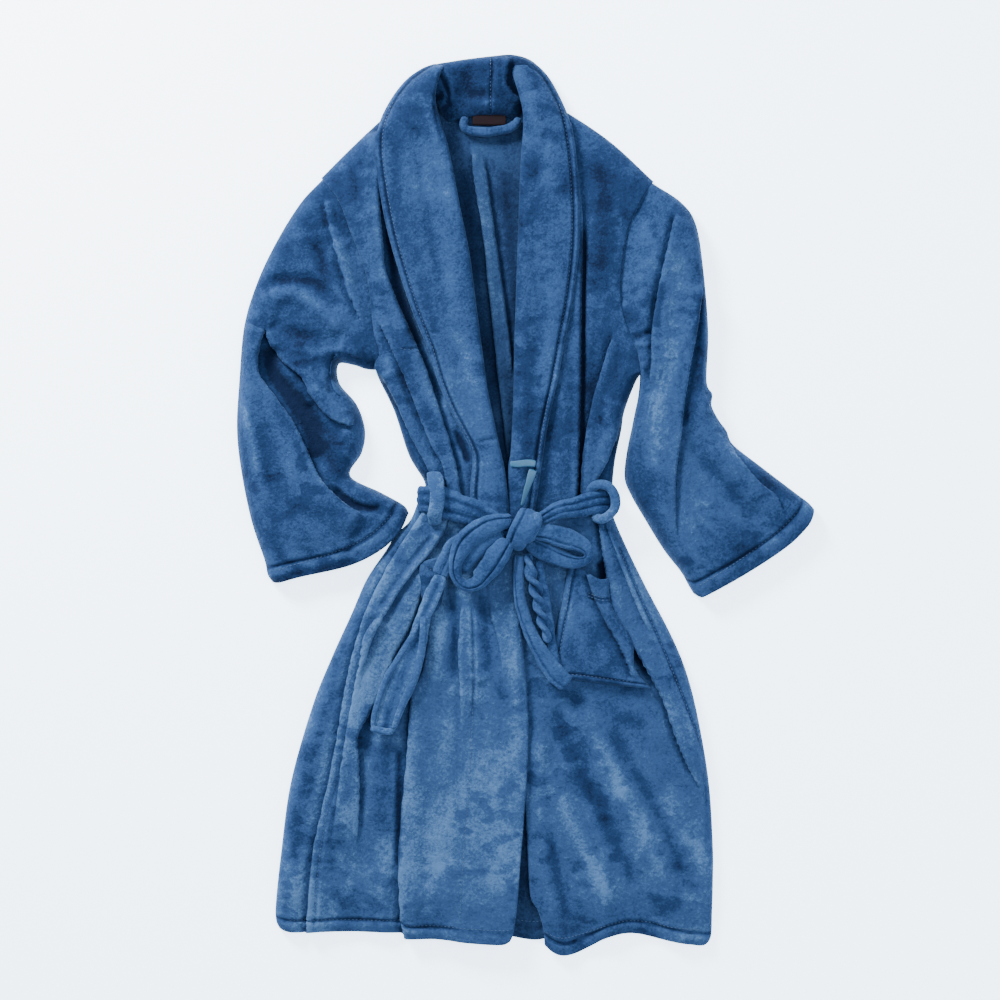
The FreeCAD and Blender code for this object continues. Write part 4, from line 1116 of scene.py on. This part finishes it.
def make_left_skirt():
    out = Cloth()
    grid = patch(
        left=[(-32, -2), (-46, -40), (-50, -100), (-40, -160), (-26, -220), (-8, -286),
            (-1, -370), (2, -430), (5, -470), (14, -487), (20, -508), (22, -529)],
        right=[(103, 15), (104, -7), (117, -40), (143, -94), (175, -155), (194, -201),
            (208, -256), (221, -334), (226, -412), (226, -454), (225, -490), (224, -518),
            (220, -527)],
        top=[(-32, -2), (9, -11), (40, 1), (76, 10), (103, 15)],
        bottom=[(22, -529), (32, -538), (45, -542), (61, -539), (79, -530), (98, -520),
            (127, -515), (166, -523), (209, -530), (220, -527)],
        fine=(EDGE, TURN, EDGE, hem(SKIRT)), step=1.95)
    db = distances(grid)[3]
    x = grid[..., 0]
    clear = smooth((x + 2) / 26)
    folds = [
        fold([(86, -7), (92, -46), (98, -88), (105, -127), (122, -155), (146, -196), (165, -232),
            (181, -278), (196, -314), (213, -352)],
             8.5, 22, 1, 4, (10, 60), 0.8),
        ridge([(88, -64), (93, -91), (107, -146), (136, -189), (155, -223)], -5.0, 5, (8, 16)),
        seam([(110, -46), (136, -107), (165, -172), (196, -249), (211, -295),
            (217, -364)], 2.4, 2.0, 1.5),
        fold([(93, -16), (107, -55), (129, -112), (148, -155)], 3.6, 9, 1, 4, (10, 20), 0.5),
        ridge([(58, -232), (94, -304), (136, -388), (170, -460), (184, -520)], 3.4, 16, (30, 0)),
        ridge([(28, -232), (64, -316), (100, -388), (136, -466), (154, -520)], -2.8, 13, (30, 0)),
        ridge([(95, -250), (136, -328), (170, -394), (196, -460)], -2.6, 12, (30, 30)),
        ridge([(4, -268), (40, -352), (79, -430), (103, -508)], 3.0, 14, (30, 0)),
        ridge([(15, -424), (28, -472), (43, -535)], 3.8, 10, (30, 0)), ridge([(35, -412),
            (52, -472), (64, -532)], -3.0, 9, (30, 0)),
        ridge([(58, -460), (69, -502), (76, -520)], -2.0, 8, (20, 0)),
        ridge([(201, -328), (203, -436), (201, -527)], -2.2, 8, (30, 0)), ridge([(95, -400),
            (93, -472), (91, -518)], 2.0, 9, (20, 0)),
        ridge([(40, -232), (33, -304), (26, -376)], -1.8, 10), ridge([(16, -232), (14, -328),
            (14, -388)], 1.6, 8),
        ridge([(88, -256), (112, -316), (136, -352)], 1.6, 10),
    ]
    z = raised(grid, 17.5 - 6 * smooth((60 - db) / 60), folds, seed=111)
    z = z + 1.3 * hem_groove(db, SKIRT) + 1.6 * np.sin(x / 15 + 1) * smooth((40 - db) / 40)
    z = np.where(clear < 1, np.minimum(z, 18.3 + 12 * clear), z)
    z = np.clip(z, 8, 34)
    # painted shade along the creases and a painted highlight along the raised folds, with light and dark
    # patches of the brushed pile
    tones = [ridge([(88, -64), (95, -100), (112, -151), (142, -196)], -2.4, 5, (6, 14)),
             ridge([(43, -136), (112, -232)], -0.3, 20), ridge([(88, -247), (124, -256),
                 (151, -268)], -1.0, 9),
             ridge([(28, -232), (64, -316), (100, -388), (136, -466)], -1.1, 10, (30, 40)),
             ridge([(95, -250), (136, -328), (170, -394), (196, -460)], -1.0, 9, (30, 40)),
             ridge([(22, -370), (35, -436), (50, -502)], -1.2, 7, (30, 20)),
             ridge([(61, -232), (97, -304), (139, -388), (170, -460)], 0.6, 8, (30, 40)),
             ridge([(4, -268), (40, -352), (79, -430), (112, -490)], 0.6, 9, (30, 30)),
             ridge([(110, -46), (136, -107), (165, -172), (196, -249),
                 (211, -295)], -1.2, 2.2, (10, 20)),
             ridge([(115, -64), (146, -124), (184, -208)], 0.5, 8), ridge([(196, -376),
                 (213, -448)], 0.5, 9),
             ridge([(172, -328), (170, -388)], 0.5, 12), ridge([(100, -304), (107, -364)], 0.5, 12),
             ridge([(4, -232), (7, -352)], -0.5, 5)]
    grid = overhang(grid, z)
    # painted shade along the hem's line of stitching
    top = shell(out, grid, z, CLOTH, rolls=(None, 18, None, None),
                shade=brushed_and_painted_shading(grid, tones, 112, 0.45, z, marks=0.7) - 0.7 * np.exp(-((db - SKIRT) / 2) ** 2))
    k = int(np.argmin(abs(db[:, db.shape[1] // 2] - SKIRT)))
    thread(out, top[k, 4:-8])
    thread(out, on_surface(top, [(112, -52), (136, -107), (165, -172), (196, -249), (211, -295),
        (215, -352)]))
    obj = piece("skirt_left", out, PLUSH, THREAD, stands_for=(
        "left_facing_upper", "left_facing_lower", "left_front_corner", "left_hem_band",
        "left_hem_corner"),
        bends=("robe", "left_corner", (0.006, -0.300, 0.016), (-0.0286, -0.3201, 0.016)))
    declare(obj, 0.55)


# ------------------------------------------------------------------ pockets
def make_pockets():
    out = Cloth()
    side, rim = (0, 0.6, 1.8, 3.6, 6, 7.4, 8.6, 9.8, 11.4), (0, 0.6, 1.8, 3.6, 6)
    grid = patch(
        left=[(50, -71), (43, -112), (35, -148), (28, -184), (27, -211)],
        right=[(99, -86), (104, -122), (127, -158), (131, -194), (151, -220)],
        top=[(50, -71), (64, -73), (76, -81), (88, -87), (99, -86)],
        bottom=[(27, -211), (58, -209), (100, -214), (151, -220)],
        fine=(side, rim, EDGE + (22, 24, 26, 28), side), step=2.0)
    dl, _, dt, db = distances(grid)
    folds = [
        fold([(71, -81), (81, -110), (92, -133), (103, -153), (115, -175),
            (127, -208)], 5.0, 12, 1, 4, (3, 8), 0.7),
        ridge([(88, -160), (95, -184), (88, -203)], 2.0, 8), ridge([(58, -112), (67, -160),
            (76, -196)], 1.6, 10),
        ridge([(55, -82), (62, -112), (59, -148)], -1.6, 5), ridge([(106, -160), (119, -187),
            (127, -211)], -2.2, 5),
    ]
    z = raised(grid, 28.0, folds, seed=121, rough=0.7)
    grooves = (np.exp(-((dl - 8.6) / 1.6) ** 2) + np.exp(-((db - 8.6) / 1.6) ** 2)
               + np.exp(-((dt - 24) / 1.5) ** 2) * smooth((dl - 26) / 10)
               + np.exp(-((dt - 28) / 1.5) ** 2) * smooth((dl - 26) / 10))
    z = z - 2.2 * grooves + 3.0 * np.exp(-(dt / 8) ** 2) * np.exp(-((dl - 30) / 18) ** 2)
    # painted shade along a crease, with light and dark patches of the brushed pile
    tones = [ridge([(46, -112), (58, -172)], 0.4, 10), ridge([(79, -124), (95, -178)], -0.8, 12),
             ridge([(117, -160), (129, -196)], 0.5, 8), ridge([(76, -100), (88, -124)], -0.9, 6),
             ridge([(52, -184), (100, -199)], 0.3, 9)]
    # painted shade along the stitched grooves
    top = shell(out, grid, z, 3.6, rolls=(7, 7, None, 7), low=21.5,
                shade=brushed_and_painted_shading(grid, tones, 122, 0.25, z, marks=0.5) - 0.9 * grooves)
    column = int(np.argmin(abs(dl[len(dl) // 2] - 8.6)))
    thread(out, top[8:-6, column])
    row = int(np.argmin(abs(db[:, db.shape[1] // 2] - 8.6)))
    thread(out, top[row, 6:-6])
    for depth in (24, 28):
        row = int(np.argmin(abs(dt[:, dt.shape[1] // 2] - depth)))
        thread(out, top[row, dt.shape[1] // 2:-6])
    obj = piece("pocket_left", out, PLUSH, THREAD, stands_for=("left_pocket", "left_pocket_hem"))
    declare(obj, 0.14)

    out = Cloth()
    grid = patch(left=[(-103, -59), (-127, -68), (-129, -83), (-127, -103), (-123, -127),
        (-125, -160)],
                 right=[(-94, -56), (-97, -79), (-99, -100), (-103, -122), (-106, -141),
                     (-113, -165)],
                 fine=(rim, rim, EDGE + (22, 24), EDGE), step=1.8)
    dl, _, dt, db = distances(grid)
    z = raised(grid, 30.5, [ridge([(-113, -71), (-116, -100),
        (-115, -136)], 2.0, 7), ridge([(-123, -81), (-104, -76)], -1.8, 3),
                            ridge([(-123, -100), (-101, -95)], -1.8, 3)], seed=131, rough=0.7)
    stitched = np.exp(-((dt - 24) / 1.6) ** 2)
    # painted shade along the stitched groove
    top = shell(out, grid, z - 1.6 * stitched, 3.6, rolls=(6, 6, None, 6), low=25.0,
                shade=brushed_and_painted_shading(grid, (), 132, 0.2, z) - 0.9 * stitched)
    row = int(np.argmin(abs(dt[:, dt.shape[1] // 2] - 24)))
    thread(out, top[row, 4:-4])
    obj = piece("pocket_right", out, PLUSH, THREAD, stands_for=("right_pocket", "right_pocket_hem"))
    declare(obj, 0.1)


# ------------------------------------------------------------------ sash
def strip_of(name, parts, nodes, body="robe", length=None,
             materials=None, slot="plush", width=None):
    out = Cloth()
    longest = 0
    for part in parts:
        c = ribbon(out, **part)
        longest = max(longest, run(c)[-1])
    obj = piece(name, out, *(materials or (PLUSH_PAINTED_LIGHT, THREAD)), stands_for=nodes, body=body, slot=slot)
    declare(obj, round((length or longest) * MM, 3), width)
    return obj


def make_sash():
    out = Cloth()
    grid = patch(left=[(-116, 25), (-116, -21)], right=[(92, 25), (92, -21)], step=4)
    shell(out, grid, 3.0 + 0.2 * noise(grid[..., 0], grid[..., 1], 15, 140), 2.6, low=1.6)
    obj = piece("sash_behind", out, PLUSH_PAINTED_LIGHT, THREAD, stands_for=("sash_back",))
    declare(obj, 0.21, SASH)
    # the shade given to the knot, bow loops, tails and belt loops paints them lighter: painted highlight
    strip_of("sash_run_right", [dict(
        points=[(-124, 9, 5), (-128, 9, 12), (-129, 9, 19), (-124, 9, 27), (-108, 8, 31.5),
                (-86, 0, 32), (-58, -10, 32), (-34, -20, 33), (-14, -27, 35)],
        width=[24, 27, 30, 33, 36, 35, 32, 27, 19], thick=[4, 5, 7, 10, 12, 12, 12, 12, 12],
        creases=(-0.16, 0.2), dent=0.75, seed=141, crease_width=0.05, across=(0, -1, 0))],
        ("sash_right",), width=SASH)
    strip_of("sash_run_left", [dict(
        points=[(100, 6, 5), (102, 6, 12), (101, 6, 20), (96, 6, 26), (84, 5, 29.5), (64, 0, 30),
                (38, -5, 31.5), (16, -16, 34), (2, -24, 36)],
        width=[28, 28, 28, 28, 28, 26, 22, 16, 14], thick=[4, 5, 6, 9, 11, 11.5, 11.5, 12, 12],
        creases=(-0.14, 0.2), dent=0.75, seed=142, crease_width=0.055, across=(0, 1, 0))],
        ("sash_left",))
    strip_of("bow_right", [
        dict(points=[(-17, -16, 42), (-35, -19, 45), (-53, -26, 46.5), (-69, -38, 47),
            (-80, -53, 47), (-85, -70, 47), (-83, -85, 46.5), (-73, -94, 46), (-59, -91, 45.5),
            (-46, -75, 46), (-34, -57, 46), (-22, -40, 44)],
             width=[15, 22, 27, 27, 22, 15, 13, 13, 18, 26, 28, 18],
             thick=[10, 13, 14, 14, 13, 12.5, 12.5, 12, 13, 14, 13, 10],
             creases=(0.17,), dent=0.85, seed=143, crease_width=0.035, around=52, shade=0.1),
        dict(points=[(-29, -29, 41), (-46, -38, 42.5), (-59, -51, 42.5), (-70, -65, 42),
            (-75, -79, 41)],
             width=[16, 20, 21, 17, 10], thick=[9, 11, 11, 10, 7], creases=(), seed=144),
        dict(points=[(-28, -46, 41), (-41, -62, 42), (-53, -75, 42), (-63, -82, 41)],
             width=[12, 14, 13, 8], thick=[9, 10, 9, 7], creases=(), seed=158, shade=0.5)],
        ("right_bow_loop",), length=240, width=SASH)
    strip_of("bow_left", [
        dict(points=[(-1, -29, 36), (15, -31, 39.5), (34, -34, 40), (52, -40, 39.5),
            (67, -47, 38.5), (74, -56, 36.5), (71, -64, 34.5), (59, -67, 34), (43, -63, 34),
            (26, -56, 34), (11, -49, 34), (1, -41, 34)],
             width=[13, 20, 24, 24, 18, 12, 11, 14, 20, 22, 19, 13],
             thick=[10, 13, 13, 13, 12, 11, 10, 10, 10, 10, 10, 8],
             creases=(0.26,), dent=0.7, seed=145, crease_width=0.04, around=44, shade=0.1)],
        ("left_bow_loop",), length=170)
    strip_of("knot", [
        dict(points=[(3, -5, 36), (2, -11, 45), (-2, -20, 51), (-8, -32, 51.5), (-13, -43, 46),
                     (-14, -50, 37)],
             width=[22, 27, 29, 29, 27, 20], thick=[9, 9, 9, 9, 9, 9],
             creases=(0.24,), dent=0.6, seed=146, crease_width=0.035, around=48,
             across=(-0.9, 0.4, 0), shade=0.3),
        dict(points=[(11, -8, 40), (12, -16, 45), (8, -28, 45), (2, -42, 40)],
             width=[10, 14, 13, 9], thick=[10, 12, 12, 9], creases=(), seed=147, shade=0.5),
        dict(points=[(-20, -29, 38), (-4, -29, 41), (10, -26, 38)],
             width=[22, 34, 24], thick=[18, 20, 16], creases=(), seed=148)],
        ("sash_knot",), length=75, width=SASH)
    strip_of("tail_root", [dict(
        points=[(-25, -46, 36), (-49, -41, 33), (-70, -39, 32), (-86, -46, 33), (-94, -61, 34.5),
            (-100, -74, 35), (-104, -83, 35)],
        width=[18, 20, 20, 20, 20, 21, 20], thick=7, shade=0.4,
        creases=(0.0,), dent=0.7, crease_width=0.06, seed=149)],
        ("right_tail_root",))
    strip_of("tail_right", [
        dict(points=[(-103, -82, 38.5), (-106, -92, 39), (-112, -106, 38.5), (-122, -129, 38),
            (-131, -160, 37.5), (-145, -194, 37), (-158, -226, 35), (-166, -247, 33),
            (-171, -269, 32)],
             width=[14, 18, 20, 17, 23, 31, 34, 30, 27], thick=[6, 7, 8, 8, 6.5, 6, 5.5, 5.5, 5],
             creases=(-0.02,), dent=0.7, seed=150, crease_width=0.17, blunt=2.5, shade=0.9),
        dict(points=[(-123, -131, 41), (-124, -160, 41), (-127, -179, 40.5), (-135, -208, 39.5),
            (-146, -232, 37.5), (-154, -251, 35.5), (-159, -266, 34)],
             width=[8, 9, 10, 10, 9, 8, 6], thick=[7, 8, 8, 8, 8, 7, 5], creases=(), seed=156, shade=0.7),
        dict(points=[(-130, -141, 41), (-140, -160, 40.5), (-155, -184, 39.5), (-169, -208, 38.5),
            (-178, -235, 36.5), (-183, -254, 35), (-183, -267, 34)],
             width=[5, 7, 7.5, 7.5, 7.5, 7, 5], thick=[5, 6.5, 7, 7, 7, 6, 5],
             creases=(), seed=157, shade=0.7),
        dict(points=[(-187, -265, 36), (-177, -267, 36), (-167, -269, 36),
            (-159, -268, 36)], width=[7, 8, 8, 7], thick=6,
             creases=(), seed=159, shade=0.6)],
        ("right_tail",), body="right_sash_tail", length=190, width=SASH)
    strip_of("tail_left", [
        dict(points=[(-9, -58, 34), (-10, -82, 34), (-8, -109, 34), (-2, -134, 34), (8, -158, 34),
            (21, -181, 33.5), (34, -199, 33), (49, -213, 32)],
             width=[12, 13, 14, 15, 17, 20, 23, 22], thick=[9, 9, 10, 10, 10, 9, 8, 7],
             creases=(0.27,), dent=0.5, seed=151, crease_width=0.05, blunt=3, shade=0.4),
        dict(points=[(1, -56, 35), (5, -79, 36), (11, -100, 36), (16, -122, 36), (21, -142, 36),
            (26, -163, 35.5)],
             width=[10, 16, 18, 17, 15, 9], thick=[8, 10, 11, 10, 9, 6],
             twist=[0, 180, 370, 570, 770, 950], creases=(0.0,), dent=0.5, seed=152,
             crease_width=0.16, step=1.4, shade=0.3),
        dict(points=[(14, -64, 31), (21, -100, 31), (27, -136, 31), (31, -166, 31), (38, -194, 31)],
             width=[8, 10, 10, 10, 8], thick=[5, 5, 5, 5, 5], creases=(), seed=153)],
        ("left_tail",), body="left_sash_tail", length=180, width=SASH)
    # belt loops: painted highlight through their shade
    strip_of("belt_loop_right", [dict(
        points=[(-110, 37, 27), (-111, 38.5, 34), (-109.5, 34, 40), (-107, 20, 42.5),
                (-107, 4, 42.5), (-109.5, -8, 39.5), (-110, -14, 34), (-109, -22, 28)],
        width=[14, 17, 19, 18, 17, 17, 17, 15], thick=7.5, creases=(), seed=154, across=(-1, 0, 0),
        shade=0.8)],
        ("right_belt_loop",))
    strip_of("belt_loop_left", [dict(
        points=[(75, 17, 24), (82, 25, 31), (93, 26, 36), (101, 21, 37), (106, 10, 37),
            (105, -2, 36), (98, -11, 33.5), (88, -15, 30), (81, -10, 23)],
        width=11.5, thick=11, creases=(), seed=155, around=26, shade=0.6)],
        ("left_belt_loop",))


# ------------------------------------------------------------------ satin tie
def make_tie():
    strip_of("tie_root", [dict(
        points=[(-20, 51, 32.5), (-11, 51, 33.8), (-2, 52, 34.2), (5, 52, 34.2), (11, 51, 33.8)],
        width=[6, 8, 8.5, 8.5, 7.5], thick=1.3, creases=(), rough=0.5, seed=161, around=16, step=1.2,
        blunt=0.8, shade=0.2)],
        ("inner_tie_root",), materials=(SATIN, THREAD), slot="satin")
    strip_of("tie_end", [dict(
        points=[(8, 44, 33.4), (6, 38, 34.4), (3, 29, 34.6), (-1, 17, 34.6), (-6, 1, 34.2)],
        width=[9.5, 10, 8.5, 7, 3.5], thick=1.3, twist=[0, 10, 20, 28, 36], creases=(), rough=0.5,
        seed=162, around=16, step=1.2, blunt=0.8)],
        ("inner_tie_end",), body="tie_end", materials=(SATIN, THREAD), slot="satin")


make_back()
make_right_chest()
make_left_chest()
make_collar()
make_lapels()
make_neck()
make_sleeves()
make_right_skirt()
make_left_skirt()
make_pockets()
make_sash()
make_tie()
